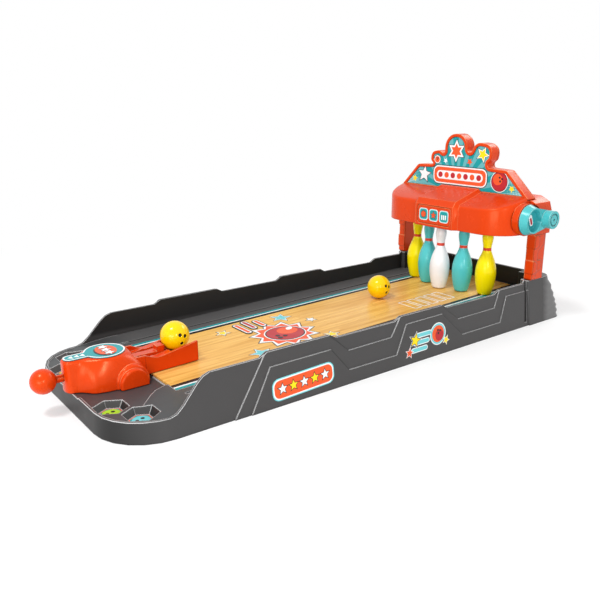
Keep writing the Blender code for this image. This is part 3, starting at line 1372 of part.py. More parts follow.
def make_launcher_shell():
    shell = piece_object("launcher_shell",
                         launcher_body(0, SKIRT_Z, LAUNCHER_TOP), ORANGE, POLISHED)
    boss_y = FRONT_Y + SIDE_BOSS_SETBACK
    for half, radius in ((SIDE_BOSS_HALF, SIDE_BOSS_RADIUS),
                         (SIDE_STEP_HALF, SIDE_STEP_RADIUS)):
        join(shell, rod_mesh((-half, boss_y, SIDE_BOSS_HEIGHT),
                             (half, boss_y, SIDE_BOSS_HEIGHT), radius))
    join(shell, plate_mesh(chute_points(FIN_PROFILE_SHARES), -CHUTE_HALF, CHUTE_HALF,
                           ALONG_X))
    cut(shell, box_mesh((-TRAY_WIDTH, FRONT_Y, 0),
                        (TRAY_WIDTH, PIVOT_Y + CHUTE_END * SKIRT_REAR_SHARE - GAP, SKIRT_Z)))
    inside = tool_object("inside", launcher_body(LAUNCHER_WALL, SKIRT_Z - OVERRUN,
                                                 LAUNCHER_TOP - LAUNCHER_WALL))
    rear_limit = PIVOT_Y + CHUTE_END * BODY_REAR_SHARE
    keep(inside, box_mesh((-TRAY_WIDTH, FRONT_Y, 0),
                          (TRAY_WIDTH, rear_limit, LAUNCHER_TOP)))
    cut(shell, baked(inside))
    half = CHUTE_HALF - FIN_THICKNESS
    cut(shell, plate_mesh(chute_points(CHUTE_FLOOR_SHARES), -half, half, ALONG_X))
    front = PIVOT_Y + LAUNCHER_DISC + GAP
    rear = PIVOT_Y + CHUTE_END * TROUGH_REAR_SHARE
    cut(shell, plate_mesh(trough_points(0, front + SKIN, rear), -half, half, ALONG_X))
    cut(shell, plate_mesh(trough_points(STEP_DROP, front + SKIN, rear), -STEP_HALF,
                          STEP_HALF, ALONG_X))
    slot_low = PLUNGER_HEIGHT - SLIDER_DROP - 2 * GAP
    slot_end = STRIKER_Y + SKIN
    slot_top = LAUNCHER_TOP + OVERRUN
    covered = LAUNCHER_TOP - LAUNCHER_WALL - GAP
    slot = [(rear_limit - OVERRUN, slot_low), (slot_end, slot_low), (slot_end, slot_top),
            (front + GAP, slot_top), (front + GAP, covered),
            (rear_limit - OVERRUN, covered)]
    cut(shell, plate_mesh(slot, -SLOT_HALF, SLOT_HALF, ALONG_X))
    cut(shell, rod_mesh(plunger_place(FRONT_Y - OVERRUN), plunger_place(PIVOT_Y),
                        ROD_RADIUS + GAP, steps=ROUND_STEPS))
    for x, y in base_screw_spots():
        cut(shell, rod_mesh((x, y, 0), (x, y, SKIRT_Z + SCREW_BITE + GAP),
                            SCREW_RADIUS + GAP, steps=SMALL_STEPS))
    plate_top = SKIRT_Z + BASE_THICKNESS + GAP
    cut(shell, loft_mesh((launcher_ring(0, LAUNCHER_WALL, SKIRT_Z - OVERRUN),
                          launcher_ring(0, LAUNCHER_WALL, plate_top))))
    return shell


def base_screw_spots():
    x, back = BASE_SCREW_PLACE
    return [(-x, PIVOT_Y + back), (x, PIVOT_Y + back)]


def make_launcher_base():
    inset = LAUNCHER_WALL + GAP
    base = piece_object("launcher_base",
                        loft_mesh((launcher_ring(0, inset, SKIRT_Z),
                                   launcher_ring(0, inset, SKIRT_Z + BASE_THICKNESS))),
                        CHARCOAL, SATIN)
    boss_low = DECK_HEIGHT - FLOOR_THICKNESS
    join(base, rod_mesh((0, PIVOT_Y, boss_low), (0, PIVOT_Y, SKIRT_Z + BASE_THICKNESS / 2),
                        PIVOT_BOSS))
    peg_y = PIVOT_Y - STOP_REACH
    join(base, rod_mesh((0, peg_y, boss_low), (0, peg_y, SKIRT_Z + BASE_THICKNESS / 2),
                        STOP_RADIUS, steps=SMALL_STEPS))
    cut(base, rod_mesh((0, PIVOT_Y, 0), (0, PIVOT_Y, SKIRT_Z + BASE_THICKNESS / 2),
                       SCREW_RADIUS + GAP, steps=SMALL_STEPS))
    for k, (x, y) in enumerate(base_screw_spots(), 1):
        cut(base, rod_mesh((x, y, 0), (x, y, LAUNCHER_TOP), SCREW_RADIUS + GAP,
                           steps=SMALL_STEPS))
        sink = SKIRT_Z + BASE_THICKNESS / 2
        cut(base, rod_mesh((x, y, 0), (x, y, sink + GAP), SCREW_HEAD_RADIUS + GAP,
                           steps=SMALL_STEPS))
        make_flat_screw("launcher_screw_%d" % k, (x, y, sink), SCREW_BITE - SKIN)
    return base


def make_flat_screw(name, seat, bite):
    """A thin-headed screw, sunk in the launcher's base."""
    head = BASE_THICKNESS / 2
    profile = ((0, bite), (SCREW_RADIUS, bite - SCREW_RADIUS), (SCREW_RADIUS, 0),
               (SCREW_HEAD_RADIUS, 0), (SCREW_HEAD_RADIUS, GAP - head), (0, GAP - head))
    mesh = turned_mesh(profile, Matrix.Translation(seat), SMALL_STEPS, name)
    return piece_object(name, mesh, STEEL, GLOSSY, 1.0)


def make_pivot_hardware():
    top = DECK_HEIGHT - FLOOR_THICKNESS - GAP
    washer = piece_object("pivot_washer",
                          rod_mesh((0, PIVOT_Y, top - WASHER_THICKNESS), (0, PIVOT_Y, top),
                                   WASHER_RADIUS), STEEL, GLOSSY, 1.0)
    cut(washer, rod_mesh((0, PIVOT_Y, 0), (0, PIVOT_Y, DECK_HEIGHT), SCREW_RADIUS + GAP,
                         steps=SMALL_STEPS))
    seat = (0, PIVOT_Y, top - WASHER_THICKNESS - GAP)
    make_screw("pivot_screw", seat, (0, 0, 1), SCREW_BITE / 2 - GAP)


def label_outline(inset):
    radius = LAUNCHER_DISC - inset
    stem = LAUNCHER_DISC * LAUNCHER_STATION_SHARES[3][1] - inset
    nose = PIVOT_Y + LAUNCHER_DISC * LAUNCHER_STATION_SHARES[0][0] + inset
    join_angle = math.asin(stem / radius)
    points = []
    for k in range(ROUND_STEPS + 1):
        start = -math.pi / 2 + join_angle
        angle = start + (2 * math.pi - 2 * join_angle) * k / ROUND_STEPS
        points.append((radius * math.cos(angle), PIVOT_Y + radius * math.sin(angle)))
    for k in range(CORNER_STEPS + 1):
        angle = math.pi + math.pi * k / CORNER_STEPS
        points.append((stem * math.cos(angle), nose + stem + stem * math.sin(angle)))
    return points


def make_launcher_label():
    low = LAUNCHER_TOP + GAP
    mesh = plate_mesh(label_outline(LABEL_MARGIN), low, low + LABEL_THICKNESS)
    return piece_object("launcher_label", mesh, TEAL_PRINT)


def rod_cross(radius, web):
    half = web / 2
    quarter = [(radius, -half), (radius, half), (half, half), (half, radius)]
    points = []
    for k in range(4):
        turn = Matrix.Rotation(math.pi / 2 * k, 2)
        points += [tuple(turn @ Vector(p)) for p in quarter[:3]]
    return points


def make_plunger():
    knob_y = FRONT_Y - KNOB_SETBACK
    rod_start = knob_y + KNOB_RADIUS - SOCKET_DEPTH + GAP
    slider_y = FRONT_Y + SLIDER_START
    rod_end = slider_y + SOCKET_DEPTH
    points = [(x, z + PLUNGER_HEIGHT) for x, z in rod_cross(ROD_RADIUS, ROD_WEB)]
    piece_object("plunger_rod", plate_mesh(points, -rod_end, -rod_start, ALONG_Y), ORANGE)
    flat = -KNOB_RADIUS * KNOB_FLAT_SHARE
    low_angle = math.asin(-KNOB_FLAT_SHARE)
    profile = []
    for k in range(ROUND_STEPS // 2 + 1):
        angle = math.pi / 2 + (low_angle - math.pi / 2) * k / (ROUND_STEPS // 2)
        profile.append((KNOB_RADIUS * math.cos(angle), KNOB_RADIUS * math.sin(angle)))
    profile[0] = (0, KNOB_RADIUS)
    profile.append((0, flat))
    knob = piece_object("plunger_knob",
                        turned_mesh(profile, Matrix.Translation(plunger_place(knob_y))),
                        ORANGE, POLISHED)
    cut(knob, rod_mesh(plunger_place(rod_start - GAP),
                       plunger_place(knob_y + 2 * KNOB_RADIUS), ROD_RADIUS + GAP))
    slider = piece_object("striker_head",
                          box_mesh((-SLIDER_HALF, slider_y, PLUNGER_HEIGHT - SLIDER_DROP),
                                   (SLIDER_HALF, STRIKER_Y, PLUNGER_HEIGHT
                                    + SLIDER_RISE)), ORANGE)
    join(slider, box_mesh((-SLIDER_HALF, STRIKER_Y - STRIKER_LENGTH, PLUNGER_HEIGHT),
                          (SLIDER_HALF, STRIKER_Y, PLUNGER_HEIGHT + STRIKER_RISE)))
    cut(slider, rod_mesh(plunger_place(slider_y - OVERRUN), plunger_place(rod_end + GAP),
                         ROD_RADIUS + GAP))
    washer_y = slider_y - GAP
    washer = piece_object("spring_washer",
                          rod_mesh(plunger_place(washer_y - WASHER_THICKNESS),
                                   plunger_place(washer_y), SPRING_RADIUS
                                   + SPRING_WIRE), STEEL, GLOSSY, 1.0)
    cut(washer, rod_mesh(plunger_place(slider_y - 2 * OVERRUN), plunger_place(slider_y),
                         ROD_RADIUS + GAP))
    make_spring(FRONT_Y + SPRING_START, washer_y - WASHER_THICKNESS - GAP)


def make_spring(front, rear):
    """One unbroken wire, whose turns lie on a helix about the plunger's rod."""
    curve = bpy.data.curves.new("launch_spring", "CURVE")
    curve.dimensions = "3D"
    curve.fill_mode = "FULL"
    curve.bevel_depth = SPRING_WIRE
    curve.bevel_resolution = 1
    curve.use_fill_caps = True
    curve.render_resolution_u = 0
    count = SPRING_TURNS * SPRING_POINTS
    spline = curve.splines.new("POLY")
    spline.points.add(count)
    start = front + SPRING_WIRE
    pitch = (rear - front - 2 * SPRING_WIRE) / SPRING_TURNS
    for k, point in enumerate(spline.points):
        angle = 2 * math.pi * k / SPRING_POINTS
        point.co = (SPRING_RADIUS * math.cos(angle), start + pitch * k / SPRING_POINTS,
                    PLUNGER_HEIGHT + SPRING_RADIUS * math.sin(angle), 1)
    print("Spring: least gap between turns %.2f mm" % ((pitch - 2 * SPRING_WIRE) / MM))
    spring = add_object("launch_spring", curve, PARTS)
    curve.materials.append(finish("launch_spring_finish", STEEL, GLOSSY, 1.0))
    return spring


def make_ball(name, centre):
    bm = bmesh.new()
    bmesh.ops.create_uvsphere(bm, u_segments=ROUND_STEPS, v_segments=ROUND_STEPS // 2,
                              radius=BALL_RADIUS)
    bmesh.ops.translate(bm, vec=centre, verts=bm.verts)
    ball = piece_object(name, mesh_from(bm, name), YELLOW, POLISHED)
    for way in FINGER_WAY_SHARES:
        out = Vector(way).normalized()
        start = Vector(centre) + out * (BALL_RADIUS - FINGER_DEPTH)
        cut(ball, rod_mesh(start, start + out * (FINGER_DEPTH + SKIN), FINGER_RADIUS,
                           steps=SMALL_STEPS // 2 + 3))
    return ball


def make_balls():
    """The two balls, with the centre of each."""
    seat = (0, PIVOT_Y + BALL_SEAT, CHUTE_REST_HEIGHT + GAP + BALL_RADIUS)
    x, y = LANE_BALL_PLACE
    lift = (BALL_RADIUS + GAP) * math.hypot(1, LANE_RISE_SHARE)
    spot = (x, y, lane_top(y) + lift)
    make_ball("chute_ball", seat)
    make_ball("lane_ball", spot)
    return seat, spot


def carry(name, place, pieces):
    """An empty on a joint's axis, with the pieces that move about it."""
    axis = bpy.data.objects.new(name, None)
    axis.location = place
    axis.empty_display_size = PIN_BELLY
    PARTS.objects.link(axis)
    bpy.context.view_layer.update()
    for piece in pieces:
        obj = bpy.data.objects[piece]
        obj.parent = axis
        obj.matrix_parent_inverse = axis.matrix_world.inverted()
    return axis


def build():
    make_tray()
    make_lane()
    for side, word in ((-1, "left"), (1, "right")):
        make_post(side, "post_" + word)
        spot = post_screw_spot(side)
        seat = (*spot, REAR_HIGH - OVERRUN - GAP)
        make_screw("post_screw_" + word, seat, (0, 0, 1), OVERRUN + SCREW_BITE - SKIN)
        make_bush("shaft_bush_" + word, side)
        x = side * SEAM_BOSS_PLACE[0]
        rear = HEADER_REAR_Y - 2 * SKIN + GAP
        make_screw("header_screw_" + word, (x, rear, SEAM_BOSS_PLACE[1]), (0, -1, 0),
                   rear - SEAM_Y + SCREW_BITE - SKIN)
    make_front_shell()
    make_rear_shell()
    make_icon_panel()
    make_sign()
    make_carrier()
    colours = (YELLOW, TEAL, WHITE, TEAL, YELLOW)
    for number, ((x, y), colour) in enumerate(zip(pin_spots(), colours), 1):
        make_pin(number, x, y, colour)
        carry("pin_hinge_%d" % number, (x, y, pin_pivot(y)), ["pin_%d" % number])
    make_shaft()
    make_bail()
    make_crank()
    carry("reset_axis", shaft_place(0),
          ["reset_shaft", "shaft_clip", "reset_bail", "crank", "crank_marker"])
    make_launcher_shell()
    make_launcher_base()
    make_launcher_label()
    make_pivot_hardware()
    make_plunger()
    seat, spot = make_balls()
    pivot = carry("launcher_pivot", (0, PIVOT_Y, SKIRT_Z),
                  ["launcher_shell", "launcher_base", "launcher_label",
                   "launcher_screw_1", "launcher_screw_2", "pivot_washer",
                   "pivot_screw", "launch_spring"])
    slide = carry("plunger_slide", plunger_place(FRONT_Y),
                  ["plunger_rod", "plunger_knob", "striker_head", "spring_washer"])
    carry("lane_ball_lift", spot, ["lane_ball"])
    lift = carry("chute_ball_lift", seat, ["chute_ball"])
    for axis in (slide, lift):
        axis.parent = pivot
        axis.matrix_parent_inverse = pivot.matrix_world.inverted()


clear_scene()
PARTS = make_collection("tabletop_bowling_game")
TOOLS = make_collection("cutters")
build()
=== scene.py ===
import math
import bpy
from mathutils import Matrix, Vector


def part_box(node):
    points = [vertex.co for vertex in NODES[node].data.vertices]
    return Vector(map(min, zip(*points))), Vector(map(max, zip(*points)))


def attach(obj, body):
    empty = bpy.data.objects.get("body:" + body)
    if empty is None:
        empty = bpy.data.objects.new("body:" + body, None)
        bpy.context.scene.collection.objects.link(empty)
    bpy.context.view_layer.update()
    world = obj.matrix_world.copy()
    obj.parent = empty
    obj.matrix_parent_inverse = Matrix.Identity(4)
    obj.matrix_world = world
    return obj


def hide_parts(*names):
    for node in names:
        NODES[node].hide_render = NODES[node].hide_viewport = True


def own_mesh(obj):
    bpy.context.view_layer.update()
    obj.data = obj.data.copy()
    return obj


bl_info = {
    "name": "Tabletop bowling game looks",
    "version": (1, 0, 0),
    "blender": (4, 5, 0),
    "location": "3D View > Sidebar > Bowling",
    "description": "Dresses the packed tabletop bowling game in its plastics, prints and light",
    "category": "Object",
}

import bmesh
import bpy
from bpy.props import FloatProperty, FloatVectorProperty, IntProperty, PointerProperty
from mathutils import Matrix, Vector
from mathutils.bvhtree import BVHTree

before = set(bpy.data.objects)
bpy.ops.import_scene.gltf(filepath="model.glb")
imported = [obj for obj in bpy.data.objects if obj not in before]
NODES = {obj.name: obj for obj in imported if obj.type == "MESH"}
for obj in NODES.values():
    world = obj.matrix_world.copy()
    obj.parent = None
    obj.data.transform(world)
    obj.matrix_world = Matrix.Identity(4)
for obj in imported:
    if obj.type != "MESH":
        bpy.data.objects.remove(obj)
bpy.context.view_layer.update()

MM = 0.001


# What a user may change


def tint(name, description, default):
    return FloatVectorProperty(name=name, description=description, subtype="COLOR", size=3,
                               min=0, max=1, default=default)


def length(name, description, default):
    return FloatProperty(name=name, description=description, unit="LENGTH",
                         subtype="DISTANCE", min=0, default=default)


def number(name, description, default, low=0, high=10):
    return FloatProperty(name=name, description=description, min=low, max=high,
                         default=default)


class BowlingColours(bpy.types.PropertyGroup):
    charcoal: tint("Tray", "Satin plastic of the tray", (0.053, 0.051, 0.051))
    dark: tint("Hidden plastic", "Plastic of the carrier, bail and base", (0.05, 0.05, 0.052))
    orange: tint("Orange", "Gloss plastic of the header, posts and launcher",
                 (0.66, 0.043, 0.002))
    teal: tint("Crank teal", "Gloss plastic of the crank", (0.075, 0.47, 0.49))
    pin_yellow: tint("Yellow pin", "Gloss plastic of the outer pins", (0.97, 0.79, 0.0))
    pin_teal: tint("Teal pin", "Gloss plastic of the second and fourth pins",
                   (0.085, 0.54, 0.56))
    pin_white: tint("White pin", "Gloss plastic of the middle pin", (0.86, 0.87, 0.89))
    band: tint("Neck band", "Printed band round each pin's neck", (0.70, 0.045, 0.014))
    ball: tint("Ball", "Polished plastic of the balls", (0.96, 0.60, 0.0))
    wood_light: tint("Light wood", "Pale bands of the printed wood", (0.93, 0.58, 0.17))
    wood_dark: tint("Dark wood", "Dark bands of the printed wood", (0.58, 0.27, 0.04))
    print_teal: tint("Teal ink", "Ground ink of the labels", (0.0, 0.30, 0.32))
    print_cyan: tint("Pale teal ink", "Lighter ink of the labels", (0.16, 0.58, 0.62))
    print_orange: tint("Orange ink", "Orange ink of the labels", (0.80, 0.09, 0.015))
    print_red: tint("Red ink", "Dark red ink of the labels", (0.45, 0.012, 0.02))
    print_yellow: tint("Yellow ink", "Yellow ink of the labels", (0.95, 0.68, 0.0))
    print_green: tint("Green ink", "Green ink of the pocket labels", (0.42, 0.66, 0.03))
    print_white: tint("White ink", "White ink of the labels", (0.84, 0.86, 0.86))
    print_black: tint("Black ink", "Black ink of the labels", (0.012, 0.012, 0.014))


class BowlingSizes(bpy.types.PropertyGroup):
    label_step: length("Ink step", "Height of one printed layer above the next", 0.06 * MM)
    label_sink: length("Ink sink", "Depth that a printed layer starts under its surface",
                       0.12 * MM)
    edge_round: length("Edge round", "Moulded rounding that catches the light", 0.9 * MM)
    ball_radius: length("Ball radius", "Radius of each ball", 11.3 * MM)
    finger_radius: length("Finger hole", "Radius of each hole in a ball", 1.4 * MM)
    finger_depth: length("Finger depth", "Depth of each hole in a ball", 2.2 * MM)
    band_low: length("Band foot", "Height of the neck band's lower edge over the pin's foot",
                     43.6 * MM)
    band_width: length("Band width", "Width of the neck band", 2.9 * MM)
    spring_wire: length("Spring wire", "Radius of the launch spring's wire", 0.45 * MM)
    spring_radius: length("Spring radius", "Radius of the launch spring's turns", 4.3 * MM)
    spring_turns: IntProperty(name="Spring turns", description="Turns of the launch spring",
                              min=2, max=24, default=8)


class BowlingLight(bpy.types.PropertyGroup):
    world: number("Surrounding light", "Strength of the even light all round", 0.66)
    key: number("Key lamp", "Power of the large soft lamp", 11.0, high=200)
    side: number("Side lamp", "Power of the small lamp on the crank's side", 3.0, high=200)
    back: number("Back lamp", "Power of the lamp behind the header", 5.0, high=200)
    fill: number("Fill lamp", "Power of the low lamp near the player", 2.5, high=200)
    lens: FloatProperty(name="Lens", description="Focal length in millimetres", min=10,
                        max=200, default=40.65)


def colours():
    return bpy.context.scene.bowling_colours


def sizes():
    return bpy.context.scene.bowling_sizes


def light():
    return bpy.context.scene.bowling_light


# Node trees


def add_node(tree, kind, feeds=(), **settings):
    """A node with its settings, whose inputs take values, wires or other nodes' outputs."""
    made = tree.nodes.new(kind)
    for key, value in settings.items():
        setattr(made, key, value)
    for socket, value in dict(feeds).items():
        if isinstance(value, Wire):
            value = value.socket
        if isinstance(value, bpy.types.NodeSocket):
            tree.links.new(value, made.inputs[socket])
        else:
            made.inputs[socket].default_value = value
    return made


def wire(tree, kind, feeds=(), output=0, **settings):
    """One output of a new node."""
    return Wire(tree, add_node(tree, kind, feeds, **settings).outputs[output])


def split(tree, vector):
    """The three parts of a vector."""
    parts = add_node(tree, "ShaderNodeSeparateXYZ", {0: vector}).outputs
    return [Wire(tree, part) for part in parts]


class Wire:
    """A node's output. A sum with it adds a math node to its tree."""

    def __init__(self, tree, socket):
        self.tree = tree
        self.socket = socket

    def run(self, operation, *others, clamp=False):
        return wire(self.tree, "ShaderNodeMath", dict(enumerate((self, *others))),
                    operation=operation, use_clamp=clamp)

    def spread(self, low, high, to_low=0.0, to_high=1.0):
        """Maps low and high to other values, and holds what lies beyond at those."""
        return wire(self.tree, "ShaderNodeMapRange",
                    {"Value": self, "From Min": low, "From Max": high, "To Min": to_low,
                     "To Max": to_high}, clamp=True)

    def __add__(self, other):
        return self.run("ADD", other)

    def __sub__(self, other):
        return self.run("SUBTRACT", other)

    def __rsub__(self, other):
        return wire(self.tree, "ShaderNodeMath", {0: other, 1: self}, operation="SUBTRACT")

    def __mul__(self, other):
        return self.run("MULTIPLY", other)

    def __truediv__(self, other):
        return self.run("DIVIDE", other)

    def __gt__(self, other):
        return self.run("GREATER_THAN", other)

    def __lt__(self, other):
        return self.run("LESS_THAN", other)

    def __abs__(self):
        return self.run("ABSOLUTE")


def shaded(colour, amount):
    """A colour made lighter or darker."""
    return tuple(min(1.0, channel * amount) for channel in colour)


def paled(colour, amount):
    """A colour moved towards white."""
    return tuple(channel + (1 - channel) * amount for channel in colour)


# The fixed direction of a painted light: rounded edges that face it get a painted highlight, those
# that face away painted shade
EDGE_LIGHT = (-0.25, -0.45, 0.86)


class Finish:
    """A material under way: its tree, its base colour and the place on the piece."""

    def __init__(self, name):
        self.material = bpy.data.materials.new(name)
        self.material.use_nodes = True
        self.tree = self.material.node_tree
        self.shader = self.tree.nodes["Principled BSDF"]
        self.coords = self.wire("ShaderNodeTexCoord", output="Object")
        self.axes = split(self.tree, self.coords)
        self.normal = None
        self.base = None

    def wire(self, kind, feeds=(), output=0, **settings):
        return wire(self.tree, kind, feeds, output, **settings)

    def feed(self, socket, value):
        self.tree.links.new(value.socket, self.shader.inputs[socket])

    def noise(self, scale, detail=2.0, rough=0.5, stretch=None, shift=(0, 0, 0)):
        """Noise over the piece, which stretch and shift can draw out and move."""
        place = self.coords
        if stretch is not None:
            place = self.wire("ShaderNodeMapping", {0: place, 1: shift, 3: stretch})
        return self.wire("ShaderNodeTexNoise",
                         {"Vector": place, "Scale": scale, "Detail": detail, "Roughness": rough})

    def blend(self, share, first, second):
        """A colour between two colours, each a plain colour or a wire."""
        ends = [end if isinstance(end, Wire) else (*end[:3], 1.0) for end in (first, second)]
        return self.wire("ShaderNodeMix", {0: share, 6: ends[0], 7: ends[1]}, 2,
                         data_type="RGBA")

    def mottle(self, colour, pattern, drift):
        """Lays the base colour, a little darker and lighter along a pattern."""
        self.base = self.blend(pattern, shaded(colour, 1 - drift), shaded(colour, 1 + drift))

    def paint(self, share, colour):
        """Lays a share of a colour over the base colour."""
        self.base = self.blend(share, self.base, colour)

    def facing(self):
        return self.wire("ShaderNodeNewGeometry", output="Normal")

    def dot(self, first, second):
        return self.wire("ShaderNodeVectorMath", {0: first, 1: second}, "Value",
                         operation="DOT_PRODUCT")

    def rounded_edges(self, radius):
        """Takes the normal of soft edges, and masks those turned up and down for painted highlight
        and shade.
        """
        self.normal = self.wire("ShaderNodeBevel", {"Radius": radius}, samples=8)
        turn = self.dot(self.normal, self.facing()).spread(0.992, 0.91)
        rise = self.dot(self.normal, EDGE_LIGHT).spread(0.1, 0.5)
        return turn * rise, turn * (1.0 - rise)

    def shade_creases(self, reach, deep, clear, colour):
        """Paints shade into seams: all of the colour at openness deep, none at openness clear."""
        openness = self.wire("ShaderNodeAmbientOcclusion", {"Distance": reach}, "AO", samples=8)
        self.base = self.blend(openness.spread(deep, clear), colour, self.base)

    def rough(self, pattern, low, high, swing=0.2):
        """Roughness from low to high along a pattern that swings about a half."""
        self.feed("Roughness", pattern.spread(0.5 - swing, 0.5 + swing, low, high))

    def grain(self, height, strength, depth=0.1 * MM):
        """Fine relief over the moulded normal."""
        feeds = {"Height": height, "Strength": strength, "Distance": depth}
        if self.normal is not None:
            feeds["Normal"] = self.normal
        self.feed("Normal", self.wire("ShaderNodeBump", feeds))

    def done(self, gloss=0.5, gleam=(1, 1, 1), metal=0.0):
        """The material, with its base colour, its gloss and the gloss's tint."""
        self.feed("Base Color", self.base)
        for key, value in (("Specular IOR Level", gloss), ("Specular Tint", (*gleam, 1)),
                           ("Metallic", metal)):
            self.shader.inputs[key].default_value = value
        return self.material


def moulded(name, colour, rough, edge, round_off=None, edge_light_paint=None, seam_shade=0.0):
    """Injection-moulded plastic: faint flow marks, edges painted pale as highlight in patches like
    wear and dark as shade, painted shade in seams, and a fine skin.
    """
    made = Finish(name)
    if round_off is None:
        round_off = sizes().edge_round
    if callable(round_off):
        round_off = round_off(made)
    made.mottle(colour, made.noise(28, 3), 0.05)
    # Edges facing EDGE_LIGHT get a painted highlight, broken up like wear; edges facing away get
    # painted shade
    lit, dim = made.rounded_edges(round_off)
    wear_and_highlight = made.noise(160).spread(0.2, 0.6, 0.55, 1.0)
    made.paint(lit * wear_and_highlight * edge, edge_light_paint or paled(colour, 0.5))
    made.paint(dim * (0.75 * edge), shaded(colour, 0.42))
    # Painted shade in the seams
    if seam_shade:
        made.shade_creases(3 * MM, 0.15, 0.6, made.blend(seam_shade, made.base, shaded(colour, 0.2)))
    made.rough(made.noise(75, 4), *rough)
    made.grain(made.noise(900), 0.06)
    return made


POST_RELIEF = (45 * MM, 47 * MM, 88 * MM, 89 * MM)


def orange_rounding(made):
    """The rounding of orange edges: wide on the posts' relief, fine elsewhere."""
    z = made.axes[2]
    start, full, last, end = POST_RELIEF
    return z.spread(start, full) * z.spread(end, last) * (1.0 * MM) + 0.9 * MM


def orange_finish():
    """Gloss orange with painted highlights and painted shade on its edges, and painted shade in its
    seams.
    """
    # The pale orange is the colour of the painted edge highlight; 0.7 is the share of painted seam
    # shade
    made = moulded("orange_gloss", tuple(colours().orange), (0.2, 0.3), 1.0, orange_rounding,
                   (0.90, 0.36, 0.16), 0.7)
    return made.done(0.42, (1, 0.58, 0.30))


# The crank's axis, the radius of its cup, and the X that the cup's inside stays under
CRANK_Y = 180 * MM
CRANK_Z = 103.8 * MM
CUP_RADIUS = 10.2 * MM
CUP_MOUTH_X = 92.0 * MM


def crank_finish():
    """Gloss teal, painted darker inside the cup as shade, with a painted highlight on the rim and
    painted shade in seams.
    """
    made = moulded("crank_teal_gloss", tuple(colours().teal), (0.2, 0.3), 0.9, 1.0 * MM,
                   seam_shade=0.5)
    x, y, z = made.axes
    aside, above = y - CRANK_Y, z - CRANK_Z
    away = (aside * aside + above * above).run("SQRT")
    # Painted shade: the inside of the cup darker
    cup = (away < CUP_RADIUS) * (x < CUP_MOUTH_X)
    made.paint(cup * 0.8, (0.02, 0.30, 0.33))
    return made.done(0.4, (0.75, 1, 1))


def under_film(made, smooth, dull):
    """The material of a print under clear film."""
    made.rough(made.noise(90), smooth, dull)
    made.grain(made.noise(600), 0.04)
    return made.done(0.3)


def ink(name, colour):
    """Printed ink with the faint mottle of a printed sheet."""
    made = Finish(name)
    made.mottle(colour, made.noise(420, 3), 0.06)
    return under_film(made, 0.27, 0.38)


def steel():
    """Zinc-plated steel with fine drawn lines."""
    made = Finish("plated_steel")
    lines = made.noise(3, 3, stretch=(900, 90, 900))
    made.base = made.blend(lines, (0.50, 0.51, 0.53), (0.68, 0.69, 0.71))
    made.rough(lines, 0.24, 0.42, 0.3)
    made.grain(lines, 0.08, 0.05 * MM)
    return made.done(metal=1.0)


# On the tray: rear walls lie behind REAR_Y, side walls beyond WALL_X, gutters within
# GUTTER_X, decks under DECK_Z, and the near end in front of NEAR_Y
REAR_Y = 200 * MM
WALL_X = 60 * MM
GUTTER_X = 84 * MM
DECK_Z = 30 * MM
NEAR_Y = -150 * MM


def tray_finish():
    """Satin charcoal plastic with painted light: highlight on rims, deck and rear towers, shade
    inside the walls, on the front, near the launcher and in creases.
    """
    made = Finish("tray_satin_charcoal")
    colour = tuple(colours().charcoal)
    x, y, z = made.axes
    way_x, way_y, way_z = split(made.tree, made.facing())
    aside = abs(x)
    rear = y > REAR_Y
    made.mottle(colour, made.noise(18, 3), 0.06)
    # Painted shade: the insides of the walls darker
    inward = (way_x * x.run("SIGN") * -1.0).run("MAXIMUM", way_y * rear * -1.0)
    inside = inward.spread(0.3, 0.6) * z.spread(20 * MM, 23 * MM)
    inside = inside * (aside > WALL_X).run("MAXIMUM", rear)
    made.paint(inside, shaded(colour, 0.36))
    # Painted light: the deck's tops paler
    deck = way_z.spread(0.6, 0.9) * z.spread(DECK_Z, 24 * MM)
    made.paint(deck * 0.22, paled(colour, 0.16))
    # Painted shade: the near end's front faces darker
    front = way_y.spread(-0.2, -0.9) * y.spread(NEAR_Y, -190 * MM)
    made.paint(front * 0.9, shaded(colour, 0.2))
    # Painted light: the rear towers paler
    towers = y.spread(212 * MM, 222 * MM) * aside.spread(80 * MM, GUTTER_X)
    made.paint(towers * 0.5, paled(colour, 0.2))
    # Painted shade: the deck near the launcher darker and cooler
    near = deck * y.spread(NEAR_Y, -175 * MM)
    made.paint(near * 0.7, (0.030, 0.036, 0.039))
    # Painted highlight on edges facing EDGE_LIGHT and painted shade on those facing away, both kept
    # off the inner walls
    lit, dim = made.rounded_edges(1.3 * MM)
    # Less painted highlight in the gutters
    gutter = (aside < GUTTER_X) * (y > NEAR_Y - 5 * MM) * (z < DECK_Z)
    lit = lit * gutter.spread(0, 1, 1.0, 0.2)
    edge_light_paint = 1.0 - inside * 0.95
    made.paint(lit * edge_light_paint, paled(colour, 0.62))
    made.paint(dim * edge_light_paint * 0.7, shaded(colour, 0.3))
    # Painted shade in the creases
    made.shade_creases(4 * MM, 0.2, 0.75, shaded(colour, 0.28))
    made.rough(made.noise(75, 4), 0.36, 0.42)
    made.grain(made.noise(1400), 0.10, 0.12 * MM)
    return made.done(0.3)


# The printed boards, and where each line at the lane's edges starts, in mm from its middle
BOARD_WIDE = 6.5 * MM
BOARD_LONG = 0.12
LANE_LINES = ((42.6, "black"), (47.0, "white"), (48.8, "teal"))


